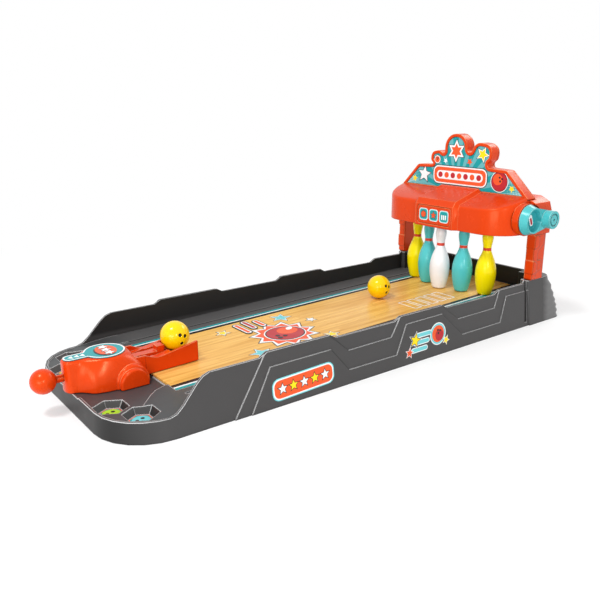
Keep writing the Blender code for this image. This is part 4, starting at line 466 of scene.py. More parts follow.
def lane_finish():
    """A printed wood lane: boards, grain and knots, edged by black, white and teal lines."""
    made = Finish("lane_printed_wood")
    tones = colours()
    x, y = made.axes[:2]
    across = x / BOARD_WIDE
    row = across.run("FLOOR")
    offset = made.wire("ShaderNodeTexWhiteNoise", {"W": row}, noise_dimensions="1D")
    run = ((y + offset * 0.3) / BOARD_LONG).run("FLOOR")
    cell = made.wire("ShaderNodeCombineXYZ", {0: row, 1: run})
    tone = made.wire("ShaderNodeTexWhiteNoise", {"Vector": cell}, noise_dimensions="3D")
    shift = made.wire("ShaderNodeCombineXYZ", {1: tone * 40.0})
    grain = made.noise(1.0, 6, 0.62, (300, 11, 1), shift)
    fine = made.noise(1.0, 3, stretch=(1500, 40, 1))
    cloud = made.noise(1.0, 3, stretch=(40, 7, 1))
    dark = grain.spread(0.38, 0.62) * 0.56 + tone * 0.10 + cloud.spread(0.35, 0.7) * 0.30
    dark = dark.run("ADD", fine.spread(0.3, 0.7) * 0.10, clamp=True)
    made.base = made.blend(dark, tones.wood_light, tones.wood_dark)
    from_middle = abs(across.run("FRACT") - 0.5)
    made.paint(from_middle.spread(0.475, 0.497) * 0.35, shaded(tones.wood_dark, 0.55))
    aside = abs(x)
    for start, colour in LANE_LINES:
        made.paint(aside > start * MM, getattr(tones, "print_" + colour))
    made.rough(cloud, 0.24, 0.34)
    made.grain(grain, 0.05)
    return made.done(0.16, (1, 0.86, 0.6))


def pin_finish(name, colour, foot, gleam):
    """Gloss plastic with the printed band round the neck."""
    made = Finish(name)
    z = made.axes[2]
    low = foot + sizes().band_low
    flow = made.noise(60, 3)
    made.mottle(colour, flow, 0.05)
    made.paint((z > low) * (z < low + sizes().band_width), colours().band)
    made.rough(flow, 0.2, 0.28)
    made.grain(made.noise(500), 0.03)
    return made.done(0.45, gleam)


# The sign's ground: how far the rays' middle lies aside of and under the panel, the rays'
# number, the dots' pitch and where the dots start
RAYS_AWAY = 6 * MM
RAYS = 26.0
DOT_PITCH = 1.7 * MM
DOTS_X = 46 * MM


def sign_ground():
    """Printed ground of the sign: alternate rays and rows of dots that fade out."""
    made = Finish("sign_print_ground")
    tones = colours()
    low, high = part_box("sign_panel")
    x, z = made.axes[0], made.axes[2]
    angle = (z - (low.z - RAYS_AWAY)).run("ARCTAN2", x + RAYS_AWAY)
    rays = (angle * RAYS).run("SINE") > 0.1
    made.base = made.blend(rays, tones.print_teal, shaded(tones.print_cyan, 0.72))
    across, above = [(value / DOT_PITCH).run("FRACT") - 0.5 for value in (x, z)]
    away = (across * across + above * above).run("SQRT")
    made.paint(away < abs(x).spread(DOTS_X, high.x, 0.0, 0.44), paled(tones.print_cyan, 0.35))
    return under_film(made, 0.28, 0.36)


INKS = ("teal", "cyan", "orange", "red", "yellow", "green", "white", "black")


def make_palette():
    """Every finish by its short name."""
    tones = colours()
    found = {
        "tray": tray_finish(),
        "lane": lane_finish(),
        "orange": orange_finish(),
        "teal": crank_finish(),
        "dark": moulded("dark_satin", tones.dark, (0.4, 0.5), 0.3).done(),
        "white": moulded("white_satin", tones.pin_white, (0.34, 0.44), 0.2).done(),
        "ball": moulded("ball_polish", tones.ball, (0.10, 0.18), 0.0,
                        0.3 * MM).done(gleam=(1, 0.9, 0.55)),
        # Painted shade: the insides of the finger holes near black
        "hole": moulded("ball_hole_dark", (0.02, 0.012, 0.006), (0.4, 0.5), 0.0).done(),
        "steel": steel(),
        "sign": sign_ground(),
    }
    for name in INKS:
        found["ink_" + name] = ink("ink_" + name, getattr(tones, "print_" + name))
    return found


FINISHES = {}


# Meshes


def linked(name, data):
    """A new object in the scene."""
    obj = bpy.data.objects.new(name, data)
    bpy.context.scene.collection.objects.link(obj)
    return obj


def piece(name, bm, finishes, body, replaced=(), sharp=35):
    """A shown piece: its mesh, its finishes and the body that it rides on."""
    mesh = mesh_from(bm, name, sharp)
    for finish in finishes:
        mesh.materials.append(FINISHES[finish] if isinstance(finish, str) else finish)
    obj = linked(name, mesh)
    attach(obj, body)
    if replaced:
        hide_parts(*replaced)
    return obj


def mesh_from(bm, name, sharp=35):
    """A mesh from bmesh, smooth but for edges that turn by more than sharp degrees."""
    bmesh.ops.recalc_face_normals(bm, faces=bm.faces)
    for face in bm.faces:
        face.smooth = True
    for edge in bm.edges:
        edge.smooth = edge.calc_face_angle(0) < math.radians(sharp)
    mesh = bpy.data.meshes.new(name)
    bm.to_mesh(mesh)
    bm.free()
    return mesh


def join_near(bm, reach):
    bmesh.ops.remove_doubles(bm, verts=bm.verts, dist=reach)


def eased(points, steps):
    """A smooth line through points, with steps between each pair."""
    made = []
    last = len(points) - 1
    for k in range(last):
        a = Vector(points[max(k - 1, 0)])
        b = Vector(points[k])
        c = Vector(points[k + 1])
        d = Vector(points[min(k + 2, last)])
        for n in range(steps):
            t = n / steps
            made.append(0.5 * (2 * b + (c - a) * t + (2 * a - 5 * b + 4 * c - d) * t * t
                               + (3 * b - a - 3 * c + d) * t ** 3))
    made.append(Vector(points[last]))
    return made


def circle(steps):
    """The cosine and the sine at even steps round a circle."""
    return [(math.cos(math.tau * k / steps), math.sin(math.tau * k / steps))
            for k in range(steps)]


def skin_rings(bm, rings, capped=True):
    """Faces between rings of equally many points, closed at both ends if capped."""
    rows = [[bm.verts.new(point) for point in ring] for ring in rings]
    count = len(rows[0])
    for low, high in zip(rows, rows[1:]):
        for k in range(count):
            bm.faces.new((low[k], low[(k + 1) % count], high[(k + 1) % count], high[k]))
    if capped:
        bm.faces.new(rows[0])
        bm.faces.new(rows[-1])


def turned(bm, profile, steps, place, capped=True):
    """A turned form about Z, from its foot's edge to its top's edge."""
    skin_rings(bm, [[place @ Vector((radius * c, radius * s, height)) for c, s in circle(steps)]
                    for radius, height in profile], capped)


def cutter(name, mesh):
    """A hidden object for a boolean."""
    obj = linked(name, mesh)
    obj.hide_render = True
    return obj


def carve(mesh, tools):
    """A mesh with other meshes joined to it or cut from it."""
    base = cutter("carved", mesh)
    extra = []
    for operation, tool in tools:
        other = cutter("tool", tool)
        change = base.modifiers.new("carve", "BOOLEAN")
        change.operation = operation
        change.solver = "EXACT"
        change.object = other
        extra.append(other)
    bpy.context.view_layer.update()
    graph = bpy.context.evaluated_depsgraph_get()
    made = bpy.data.meshes.new_from_object(base.evaluated_get(graph))
    for obj in [base] + extra:
        bpy.data.objects.remove(obj)
    bm = bmesh.new()
    bm.from_mesh(made)
    join_near(bm, 0.01 * MM)
    return bm


def soften(obj):
    """Joins a CAD node's split corners and shades its curved sides smoothly."""
    weld = obj.modifiers.new("join corners", "WELD")
    weld.merge_threshold = 0.005 * MM
    change = obj.modifiers.new("smooth sides", "NODES")
    change.node_group = bpy.data.node_groups.get("smooth_sides") or smooth_sides()


def smooth_sides():
    """A node group that shades smoothly but for edges that turn by 32 degrees or more."""
    group = bpy.data.node_groups.new("smooth_sides", "GeometryNodeTree")
    for way in ("INPUT", "OUTPUT"):
        group.interface.new_socket("Geometry", in_out=way, socket_type="NodeSocketGeometry")
    start = add_node(group, "NodeGroupInput")
    angle = wire(group, "GeometryNodeInputMeshEdgeAngle")
    smooth = wire(group, "FunctionNodeCompare", {0: angle, 1: math.radians(32)},
                  operation="LESS_THAN")
    faces = wire(group, "GeometryNodeSetShadeSmooth", {0: start.outputs[0], 2: True},
                 domain="FACE")
    edges = wire(group, "GeometryNodeSetShadeSmooth", {0: faces, 2: smooth}, domain="EDGE")
    add_node(group, "NodeGroupOutput", {0: edges})
    return group


# Printed shapes, in mm


def placed(x, y, turn, points):
    """Points turned about their own zero and then moved."""
    return [(x + a * math.cos(turn) - b * math.sin(turn),
             y + a * math.sin(turn) + b * math.cos(turn)) for a, b in points]


def star(x, y, radius, turn=0.0, inner=0.45, tips=5):
    made = []
    for k in range(2 * tips):
        reach = radius if k % 2 == 0 else radius * inner
        angle = turn + math.pi * k / tips
        made.append((x + reach * math.sin(angle), y + reach * math.cos(angle)))
    return made


def disc(x, y, radius, other=None, turn=0.0, steps=32):
    other = radius if other is None else other
    return placed(x, y, turn, [(radius * c, other * s) for c, s in circle(steps)])


def bar(x, y, wide, high, round_off, turn=0.0):
    """A rounded bar."""
    round_off = min(round_off, wide / 2, high / 2)
    made = []
    for sx, sy, start in ((1, 1, 0), (-1, 1, 1), (-1, -1, 2), (1, -1, 3)):
        for k in range(6):
            angle = math.pi / 2 * (start + k / 5)
            made.append((sx * (wide / 2 - round_off) + round_off * math.cos(angle),
                         sy * (high / 2 - round_off) + round_off * math.sin(angle)))
    return placed(x, y, turn, made)


def nested(level, inks, shape, x, y, spans, *others):
    """One shape in several inks and spans, each a layer above the last."""
    layers = []
    for k, (colour, span) in enumerate(zip(inks.split(), spans)):
        span = span if isinstance(span, tuple) else (span,)
        layers.append((level + k, colour, shape(x, y, *span, *others)))
    return layers


def dots(level, *spots):
    """Black discs, such as a ball's finger holes, each from its x, y and radius."""
    return [(level, "black", disc(*spot)) for spot in spots]


def printed(name, place, layers, body):
    """Printed shapes as thin plates, each layer a step above the last."""
    bm = bmesh.new()
    used = []
    step, sink = sizes().label_step, sizes().label_sink
    for level, colour, points in layers:
        if colour not in used:
            used.append(colour)
        rows = [[bm.verts.new(place @ Vector((a * MM, b * MM, height))) for a, b in points]
                for height in (-sink, step * level)]
        faces = [bm.faces.new(rows[0]), bm.faces.new(rows[1])]
        for k in range(len(points)):
            n = (k + 1) % len(points)
            faces.append(bm.faces.new((rows[0][k], rows[0][n], rows[1][n], rows[1][k])))
        for face in faces:
            face.material_index = used.index(colour)
    return piece(name, bm, ["ink_" + colour for colour in used], body)


def seat_on(node, start, way, across):
    """The place on a CAD node that a line meets, with Z out of it and X near across."""
    mesh = NODES[node].data
    tree = BVHTree.FromPolygons([v.co for v in mesh.vertices],
                                [tuple(p.vertices) for p in mesh.polygons])
    hit, normal = tree.ray_cast(Vector(start), Vector(way))[:2]
    if hit is None:
        raise RuntimeError("no surface of %s for a print" % node)
    if normal.dot(Vector(way)) > 0:
        normal = -normal
    side = Vector(across)
    side = (side - normal * side.dot(normal)).normalized()
    up = normal.cross(side)
    return Matrix.Translation(hit) @ Matrix((side, up, normal)).transposed().to_4x4()


def facing_front(node):
    """The place at the middle of a node's front face, with Z towards the player."""
    low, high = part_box(node)
    spot = Matrix.Translation(((low.x + high.x) / 2, low.y, low.z))
    return spot @ Matrix(((1, 0, 0), (0, 0, -1), (0, 1, 0))).to_4x4()


# The pieces


CAD_FINISHES = {
    "tray": "tray", "lane_board": "lane", "pin_carrier": "dark", "reset_bail": "dark",
    "launcher_base": "dark", "crank": "teal", "sign_panel": "sign", "launcher_label": "ink_teal",
    "reset_shaft": "steel", "shaft_clip": "steel", "pivot_washer": "steel",
    "spring_washer": "steel", "shaft_bush_left": "white", "shaft_bush_right": "white",
}


def finish_nodes():
    for name, node in NODES.items():
        key = CAD_FINISHES.get(name)
        if key is None:
            key = "steel" if "screw" in name or "axle" in name else "orange"
        node.data.materials.clear()
        node.data.materials.append(FINISHES[key])
        soften(node)


# A pin's outline as shares of its belly's radius and of its height
PIN_OUTLINE = ((0.64, 0.0), (0.7, 0.02), (0.83, 0.1), (0.955, 0.21), (1.0, 0.32), (0.95, 0.42),
               (0.79, 0.52), (0.59, 0.6), (0.45, 0.655), (0.395, 0.7), (0.42, 0.76),
               (0.49, 0.82), (0.53, 0.885), (0.46, 0.95), (0.33, 0.985), (0.22, 1.0))
PIN_BELLY = 10.15 * MM
PIN_TALL = 64 * MM
PIN_AXLE = 68 * MM
PIN_GLEAMS = (("yellow", (1, 0.95, 0.45)), ("teal", (0.7, 1, 1)), ("white", (1, 1, 1)),
              ("teal", (0.7, 1, 1)), ("yellow", (1, 0.95, 0.45)))


def make_pins():
    """Each pin's body, and the stem and the eye that hang it from its axle."""
    stem, stem_top, eye, eye_half, hole = 2.1 * MM, 65.6 * MM, 3 * MM, 2.3 * MM, 1.2 * MM
    profile = [(PIN_BELLY * 0.6, 0.4 * MM), (PIN_BELLY * 0.62, 0)]
    profile += [(PIN_BELLY * point.x, PIN_TALL * point.y) for point in eased(PIN_OUTLINE, 4)]
    loop = ((hole, -eye_half), (eye, -eye_half), (eye, eye_half), (hole, eye_half),
            (hole, -eye_half))
    for k, (tone, gleam) in enumerate(PIN_GLEAMS, 1):
        low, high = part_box("pin_%d" % k)
        x, y, foot = (low.x + high.x) / 2, (low.y + high.y) / 2, low.z
        place = Matrix.Translation((x, y, foot))
        bm = bmesh.new()
        turned(bm, profile, 48, place)
        turned(bm, ((stem, PIN_TALL - MM), (stem, stem_top)), 20, place)
        axle = Matrix.Translation((x, y, foot + PIN_AXLE)) @ Matrix.Rotation(math.pi / 2, 4, "Y")
        turned(bm, loop, 24, axle, capped=False)
        join_near(bm, 0.01 * MM)
        finish = pin_finish("pin_%s_gloss_%d" % (tone, k), getattr(colours(), "pin_" + tone),
                            foot, gleam)
        piece("pin_body_%d" % k, bm, [finish], "pin_%d" % k, ["pin_%d" % k])


# Where a ball's finger holes point
FINGERS = ((0.958, -0.07, 0.277), (0.94, 0.31, 0.14), (0.943, 0.04, -0.331))


def make_balls():
    """Two balls, each with three finger holes."""
    radius, hole, deep = sizes().ball_radius, sizes().finger_radius, sizes().finger_depth
    lip, inside = 0.35 * MM, 0.55 * MM
    profile = ((hole * 0.8, radius - deep), (hole, radius - deep + 0.3 * MM),
               (hole, radius - lip), (hole + 2 * lip, radius + lip))
    for name in ("chute_ball", "lane_ball"):
        low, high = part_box(name)
        centre = (low + high) / 2
        bm = bmesh.new()
        bmesh.ops.create_icosphere(bm, subdivisions=5, radius=radius)
        bmesh.ops.translate(bm, vec=centre, verts=bm.verts)
        ball = mesh_from(bm, name + "_round")
        tools = []
        for way in FINGERS:
            turn = Vector(way).normalized().to_track_quat("Z", "Y").to_matrix().to_4x4()
            bm = bmesh.new()
            turned(bm, profile, 24, Matrix.Translation(centre) @ turn)
            tools.append(("DIFFERENCE", mesh_from(bm, "finger")))
        bm = carve(ball, tools)
        # Faces deep in a finger hole take the painted shade
        for face in bm.faces:
            away = (face.calc_center_median() - centre).length
            face.material_index = 1 if away < radius - inside else 0
        piece(name + "_polished", bm, ["ball", "hole"], name, [name])


def make_spring():
    """The launch spring: one round wire on a helix."""
    low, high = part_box("launch_spring")
    wire_radius, radius = sizes().spring_wire, sizes().spring_radius
    turns = sizes().spring_turns
    centre = (low.z + high.z) / 2
    start, end = low.y + wire_radius, high.y - wire_radius
    count = 28 * turns
    rings = []
    for k in range(count + 1):
        share = k / count
        angle = math.tau * turns * share
        spot = Vector((radius * math.cos(angle), start + (end - start) * share,
                       centre + radius * math.sin(angle)))
        out = Vector((math.cos(angle), 0, math.sin(angle)))
        along = Vector((-math.sin(angle) * radius, (end - start) / (math.tau * turns),
                        math.cos(angle) * radius)).normalized()
        side = along.cross(out)
        rings.append([spot + wire_radius * (out * c + side * s) for c, s in circle(10)])
    bm = bmesh.new()
    skin_rings(bm, rings)
    spring = piece("launch_spring_wire", bm, ["steel"], "launcher", ["launch_spring"])
    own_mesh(spring)


def make_knob():
    """The pull knob: a ball that ends in a short neck."""
    low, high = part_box("plunger_knob")
    radius = (high.x - low.x) / 2
    centre = Vector(((low.x + high.x) / 2, low.y + radius, (low.z + high.z) / 2))
    place = Matrix.Translation(centre) @ Matrix.Rotation(-math.pi / 2, 4, "X")
    profile = []
    for k in range(1, 30):
        angle = -math.pi / 2 + math.pi * k / 31
        profile.append((radius * math.cos(angle), radius * math.sin(angle)))
    profile += [(4.1 * MM, radius * 0.91), (3.7 * MM, high.y - centre.y)]
    bm = bmesh.new()
    turned(bm, profile, 48, place)
    piece("plunger_ball_knob", bm, ["orange"], "plunger", ["plunger_knob"])


# The launcher's outline from its tail to its nose, in radii of its round top: Y and half
# the width at the top, then at the foot. The higher SWELL is, the longer the foot's
# outline holds on the way up
LAUNCHER_OUTLINE = (
    (-1.96, 0.0, -1.96, 0.0), (-1.93, 0.2, -1.93, 0.24), (-1.78, 0.36, -1.8, 0.44),
    (-1.5, 0.41, -1.52, 0.54), (-1.22, 0.43, -1.3, 0.72), (-0.94, 0.55, -0.98, 1.08),
    (-0.68, 0.76, -0.5, 1.24), (-0.4, 0.92, 0.0, 1.29), (0.0, 1.0, 0.44, 1.31),
    (0.4, 0.92, 0.88, 1.31), (0.72, 0.7, 1.31, 1.26), (0.92, 0.4, 1.6, 0.94),
    (1.0, 0.0, 1.69, 0.0),
)
LAUNCHER_Y = -199 * MM
DISC = 16 * MM
SWELL = 2.3


def launcher_ring(share, inset, level):
    """The launcher's outline at a height: share is 0 at its foot and 1 at its top."""
    half = []
    for top_y, top_x, foot_y, foot_x in LAUNCHER_OUTLINE:
        y = foot_y + (top_y - foot_y) * share
        x = foot_x + (top_x - foot_x) * share
        half.append((x * DISC, y * DISC))
    line = eased(half, 5)
    middle = Vector((0, sum(p.y for p in line) / len(line)))
    ends = (0, len(line) - 1)
    right = []
    for k, point in enumerate(line):
        before, after = line[max(k - 1, 0)], line[min(k + 1, ends[1])]
        way = (after - before).normalized()
        out = (point - middle).normalized() if k in ends else Vector((way.y, -way.x))
        moved = point - out * inset
        right.append((0.0 if k in ends else max(moved.x, 0.0), moved.y))
    ring = right + [(-x, y) for x, y in reversed(right[1:-1])]
    return [Vector((x, LAUNCHER_Y + y, level)) for x, y in ring]


def launcher_solid(inset, foot, top, tall, fillet):
    """The launcher's form, set in by inset, with a rounded top edge."""
    levels = [(foot + (top - fillet - foot) * k / 14, 0) for k in range(15)]
    for k in range(1, 5):
        angle = math.pi / 2 * k / 4
        levels.append((top - fillet + fillet * math.sin(angle), fillet * (1 - math.cos(angle))))
    bm = bmesh.new()
    skin_rings(bm, [launcher_ring(max(0.0, (level - foot) / tall) ** SWELL, inset + more, level)
                    for level, more in levels])
    return mesh_from(bm, "launcher_solid")


def block(low, high):
    bm = bmesh.new()
    bmesh.ops.create_cube(bm, size=1.0)
    for vert in bm.verts:
        vert.co = Vector([a + (b - a) * (c + 0.5) for a, b, c in zip(low, high, vert.co)])
    return mesh_from(bm, "block")


def arch(y, foot, crown, radius, half, fillet):
    """A rounded boss across the launcher: an arch with soft front edges."""
    levels = []
    for k in range(6):
        angle = math.pi / 2 * k / 5
        levels.append((half - fillet + fillet * math.sin(angle),
                       fillet * (1 - math.cos(angle))))
    rings = []
    for x, inset in [(-x, inset) for x, inset in reversed(levels)] + levels:
        reach = radius - inset
        ring = [(y - reach, foot)]
        for k in range(25):
            angle = math.pi - math.pi * k / 24
            ring.append((y + reach * math.cos(angle), crown + reach * math.sin(angle)))
        ring.append((y + reach, foot))
        rings.append([Vector((x, a, b)) for a, b in ring])
    bm = bmesh.new()
    skin_rings(bm, rings)
    return mesh_from(bm, "arch")


def make_launcher():
    """A hollow body with a stepped boss on each side, and the CAD shell's chute."""
    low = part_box("launcher_shell")[0]
    foot, top = low.z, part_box("launcher_label")[0].z - 0.3 * MM
    tall, wall, far = top - foot, 2.2 * MM, 60 * MM
    body = launcher_solid(0, foot, top, tall, 1.6 * MM)
    inside = launcher_solid(wall, foot, top - wall, tall, 0.8 * MM)
    nose = block((-far, -185.3 * MM, -far), (far, 0, far))
    inside = mesh_from(carve(inside, [("DIFFERENCE", nose)]), "hollow")
    boss_y, boss_z = -187 * MM, 17.4 * MM
    rod_hole = bmesh.new()
    turned(rod_hole, ((2.9 * MM, -50 * MM), (2.9 * MM, 30 * MM)), 32,
           Matrix.Translation((0, -200 * MM, 25 * MM)) @ Matrix.Rotation(-math.pi / 2, 4, "X"))
    below = block((-40 * MM, low.y - MM, foot - 5 * MM), (40 * MM, -160 * MM, foot))
    slot = block((-4 * MM, -190 * MM, 20.4 * MM), (4 * MM, -150 * MM, 34.9 * MM))
    mouth = block((-12.4 * MM, -182.6 * MM, 30 * MM), (12.4 * MM, -150 * MM, 60 * MM))
    tools = [("UNION", arch(boss_y, foot, boss_z, 13 * MM, 21.6 * MM, 2.4 * MM)),
             ("UNION", arch(boss_y, foot, boss_z, 10.8 * MM, 25 * MM, 1.6 * MM))]
    tools += [("DIFFERENCE", tool) for tool in (below, inside, slot, mouth)]
    tools.append(("DIFFERENCE", mesh_from(rod_hole, "rod_hole")))
    piece("launcher_body", carve(body, tools), ["orange"], "launcher",
          ["launcher_shell"], sharp=40)
    bm = bmesh.new()
    bm.from_mesh(NODES["launcher_shell"].data)
    join_near(bm, 0.005 * MM)
    everything = list(bm.verts) + list(bm.edges) + list(bm.faces)
    cut = bmesh.ops.bisect_plane(bm, geom=everything, plane_co=(0, -184.4 * MM, 0),
                                 plane_no=(0, -1, 0), clear_outer=True)
    edges = [item for item in cut["geom_cut"] if isinstance(item, bmesh.types.BMEdge)]
    bmesh.ops.holes_fill(bm, edges=edges, sides=0)
    chute = mesh_from(bm, "chute")
    shoulder, half = 27.2 * MM, 13 * MM
    ends = [("DIFFERENCE", block((side * shoulder - half, -200 * MM, 0),
                                 (side * shoulder + half, -173.9 * MM, 60 * MM)))
            for side in (-1, 1)]
    piece("launcher_chute", carve(chute, ends), ["orange"], "launcher",
          sharp=28)


# The lane's rise towards the pins, and its height at Y 0
LANE_SLOPE = 0.023
LANE_Z = 21 * MM


def make_lane_print():
    place = (Matrix.Translation((0, 0, LANE_Z))
             @ Matrix.Rotation(math.atan(LANE_SLOPE), 4, "X"))
    layers = nested(1, "black white", star, 8, -44, (31.6, 30), 0.1, 0.72, 11)
    layers += nested(3, "orange", star, 8, -44, (25.4,), 0.1, 0.78, 11)
    layers += nested(4, "white black red", disc, 8, -43, ((17.4, 18.6), (16.4, 17.6), (15.4, 16.6)))
    layers += [(7, "orange", disc(4, -38, 8.4, 9.4)), (8, "white", disc(0.6, -33.5, 2.6, 4.0, 0.6))]
    layers += dots(8, (13.6, -47, 2.0), (9.6, -52, 2.0), (15, -53, 2.2))
    for x, y, long, colour in ((-24, -66, 26, "orange"), (-29, -56, 22, "red"),
                               (-27, -46, 18, "orange")):
        layers += nested(9, "black white " + colour, bar, x, y,
                         ((long + 2, 7.2, 3.6), (long, 5.4, 2.7), (long - 2.6, 3.0, 1.5)))
    for x, y, size, colour, turn in ((-28, -22, 11.5, "cyan", 0.3), (33, -84, 11.5, "cyan", 0.9),
                                     (36, -14, 8.5, "yellow", 0.1), (-27, -84, 8.0, "yellow", 0.5),
                                     (-6, -4, 6.4, "white", 0.7)):
        layers += nested(1, "black white " + colour, star, x, y, (size, size - 1.2, size - 3.0),
                         turn)
    middle, wide, deep, line, first, pitch = 22.5, 24.0, 8.2, 1.0, 90, 11.6
    for k in range(5):
        y = first + pitch * k
        for end in (0, deep):
            layers.append((1, "white", bar(middle, y + end, wide, line, 0.2)))
        for side in (-1, 1):
            x = middle + side * (wide - line) / 2
            layers.append((1, "white", bar(x, y + deep / 2, line, deep + line, 0.2)))
    printed("lane_print_shapes", place, layers, "stand")


def make_wall_prints():
    low = nested(1, "cyan white orange", bar, 0, 0,
                 ((57, 17, 6), (55.4, 15.4, 5.4), (53.6, 13.6, 4.8)))
    for k in range(-2, 3):
        low += nested(4, "black white" if k % 2 == 0 else "black yellow", star, k * 9.8, 0,
                      (5.2, 4.0))
    high = nested(1, "white cyan orange", disc, 13, 2, (9.8, 9.0, 7.4))
    high.append((4, "red", disc(14.6, 0.6, 5.0)))
    high += dots(5, (15.6, 4.6, 1.0), (12.8, 5.4, 1.0), (13.4, 2.4, 1.1))
    for k in range(3):
        high += nested(1, "white cyan", bar, -5 - 2.5 * k, 5.4 - 6 * k,
                       ((20, 4.6, 2.3), (18.6, 3.2, 1.6)))
    high += nested(3, "white black yellow", star, -15, 2, (8.0, 7.3, 5.8), 0.3)
    high += nested(3, "white orange", star, -22, -7.5, (5.2, 4.2), 0.2)
    high += nested(3, "white yellow", star, 23, -5.5, (4.6, 3.7), 0.5)
    outside = 0.13
    for side, word in ((1, "right"), (-1, "left")):
        way, across = (-side, 0, 0), (0, side, 0)
        place = seat_on("tray", (side * outside, -84 * MM, 13.5 * MM), way, across)
        place = place @ Matrix.Rotation(math.radians(2.0 * side), 4, "Z")
        printed("wall_label_low_" + word, place, low, "stand")
        place = seat_on("tray", (side * outside, 48 * MM, 17 * MM), way, across)
        printed("wall_label_high_" + word, place, high, "stand")


def make_pocket_prints():
    for k, (x, y, colour) in enumerate(((43.8, -214, "green"), (65.4, -202.3, "cyan"),
                                        (-43.8, -214, "yellow"), (-65.4, -202.3, "orange")), 1):
        place = seat_on("tray", (x * MM, y * MM, 0.03), (0, 0, -1), (1, 0, 0))
        layers = [(1, "orange", disc(0, 0, 8.5, steps=6)), (2, "teal", disc(0, 0, 7.6, steps=6)),
                  (3, colour, disc(0, 0, 6.3))]
        layers += dots(4, (2.4, -0.4, 1.2), (-0.6, -2.6, 1.2), (-1.8, 1.8, 1.4))
        printed("pocket_label_%d" % k, place, layers, "stand")


def make_sign_print():
    place = facing_front("sign_panel")
    layers = nested(3, "black white orange white", bar, -2, 12.4,
                    ((70, 19.6, 7), (68.6, 18.2, 6.4), (66, 15.6, 5.4), (59, 8.6, 4.2)))
    for k in range(-3, 4):
        layers.append((7, "red" if k % 2 else "orange", disc(-2 + 8.2 * k, 12.4, 2.9)))
    layers += nested(1, "black white orange", star, -7.6, 37, (12.4, 11.2, 7.6), 0.0, 0.55, 6)
    layers += nested(1, "black white yellow", star, 25.5, 35.4, (9.4, 8.2, 6.4), 0.4)
    layers += nested(1, "black white orange", disc, -32, 27.4, (4.6, 4.1, 3.2))
    layers += dots(4, (-31, 28.6, 0.6), (-32.6, 28.8, 0.6), (-31.8, 27.2, 0.6))
    layers += nested(1, "black white", star, -49, 11, (10.4, 8.8), 0.1)
    layers += nested(1, "white black red", disc, 47, 11, (10.2, 9.5, 8.9))
    layers.append((4, "orange", disc(45, 13, 5.4)))
    layers += dots(5, (50, 13.8, 1.0), (47.2, 15, 1.0), (48, 11.4, 1.1))
    for colour, x, y, size, turn in (("yellow", 61.5, 5.4, 3.6, 0.6),
                                     ("yellow", -62.5, 5.6, 3.8, 0.2),
                                     ("orange", 10, 27.4, 3.8, 0.5), ("white", -21, 26.6, 2.9, 0.5)):
        layers.append((1, colour, star(x, y, size, turn)))
    printed("sign_print_shapes", place, layers, "stand")


def make_icon_print():
    """Three tiles: a disc, a star and three bars."""
    place = facing_front("icon_panel")
    layers = []
    pitch, y = 13.2, 9.0
    marks = (nested(4, "black orange", disc, -pitch, y, (3.5, 3.0)),
             nested(4, "black orange", star, 0, y, (4.4, 3.6)),
             [(4, "white", bar(pitch + 2.3 * k, y - 0.6, 1.5, 4.8, 0.75)) for k in (-1, 0, 1)])
    for x, mark in zip((-pitch, 0, pitch), marks):
        layers += nested(1, "white cyan teal", bar, x, y,
                         ((11.6, 12.0, 3.0), (10.4, 10.8, 2.6), (9.0, 9.4, 2.2)))
        layers += mark
    printed("icon_print_shapes", place, layers, "stand")


def make_launcher_print():
    """The label's ball, stars and arrows, and a pale border along its edge."""
    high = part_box("launcher_label")[1]
    place = Matrix.Translation((0, LAUNCHER_Y, high.z))
    layers = [(2, "black", disc(1.2, 0.0, 10.4, 7.6)), (3, "orange", disc(0, 1.2, 10.2, 7.4))]
    for k in (-1, 0, 1):
        layers += [(4, "black", star(6.6 * k + 0.4, 0.8, 4.5, 0.2)),
                   (5, "white", star(6.6 * k, 1.2, 4.1, 0.2))]
    for k in range(3):
        y = -16.6 - 4.2 * k
        layers.append((2, "white", [(-2.4, y + 1.7), (0, y - 1.7), (2.4, y + 1.7)]))
    printed("launcher_print_shapes", place, layers, "launcher")
    round_half, stem_half, stem_end, stem_y = 14.6, 5.1, 4.6, -25.4
    outline = []
    for k in range(49):
        angle = math.radians(-69.5 + 319 * k / 48)
        outline.append((round_half * math.cos(angle), round_half * math.sin(angle)))
    for k in range(13):
        angle = math.pi + math.pi * k / 12
        outline.append((stem_half * math.cos(angle), stem_y + stem_end * math.sin(angle)))
    wide, under, over = 1.1, 0.01 * MM, 0.10 * MM
    rings = []
    for inset, level in ((0, under), (0, over), (wide, over), (wide, under), (0, under)):
        ring = []
        for k, (x, y) in enumerate(outline):
            before, after = Vector(outline[k - 1]), Vector(outline[(k + 1) % len(outline)])
            way = (after - before).normalized()
            ring.append(place @ Vector(((x - way.y * inset) * MM, (y + way.x * inset) * MM,
                                        level)))
        rings.append(ring)
    bm = bmesh.new()
    skin_rings(bm, rings, capped=False)
    join_near(bm, 0.002 * MM)
    piece("launcher_print_border", bm, ["ink_white"], "launcher")


def make_crank_mark():
    low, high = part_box("crank_marker")
    turn = Matrix(((0, 0, 1), (1, 0, 0), (0, 1, 0))).to_4x4()
    place = Matrix.Translation((low.x + 0.3 * MM, (low.y + high.y) / 2, (low.z + high.z) / 2)) @ turn
    tilt = math.radians(22)
    layers = [(4, "white", bar(0, 0, 4.6, 11.0, 2.2, tilt)),
              (7, "red", bar(0.3, -0.9, 2.4, 7.0, 1.2, tilt))]
    mark = printed("crank_mark_print", place, layers, "reset")
    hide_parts("crank_marker")


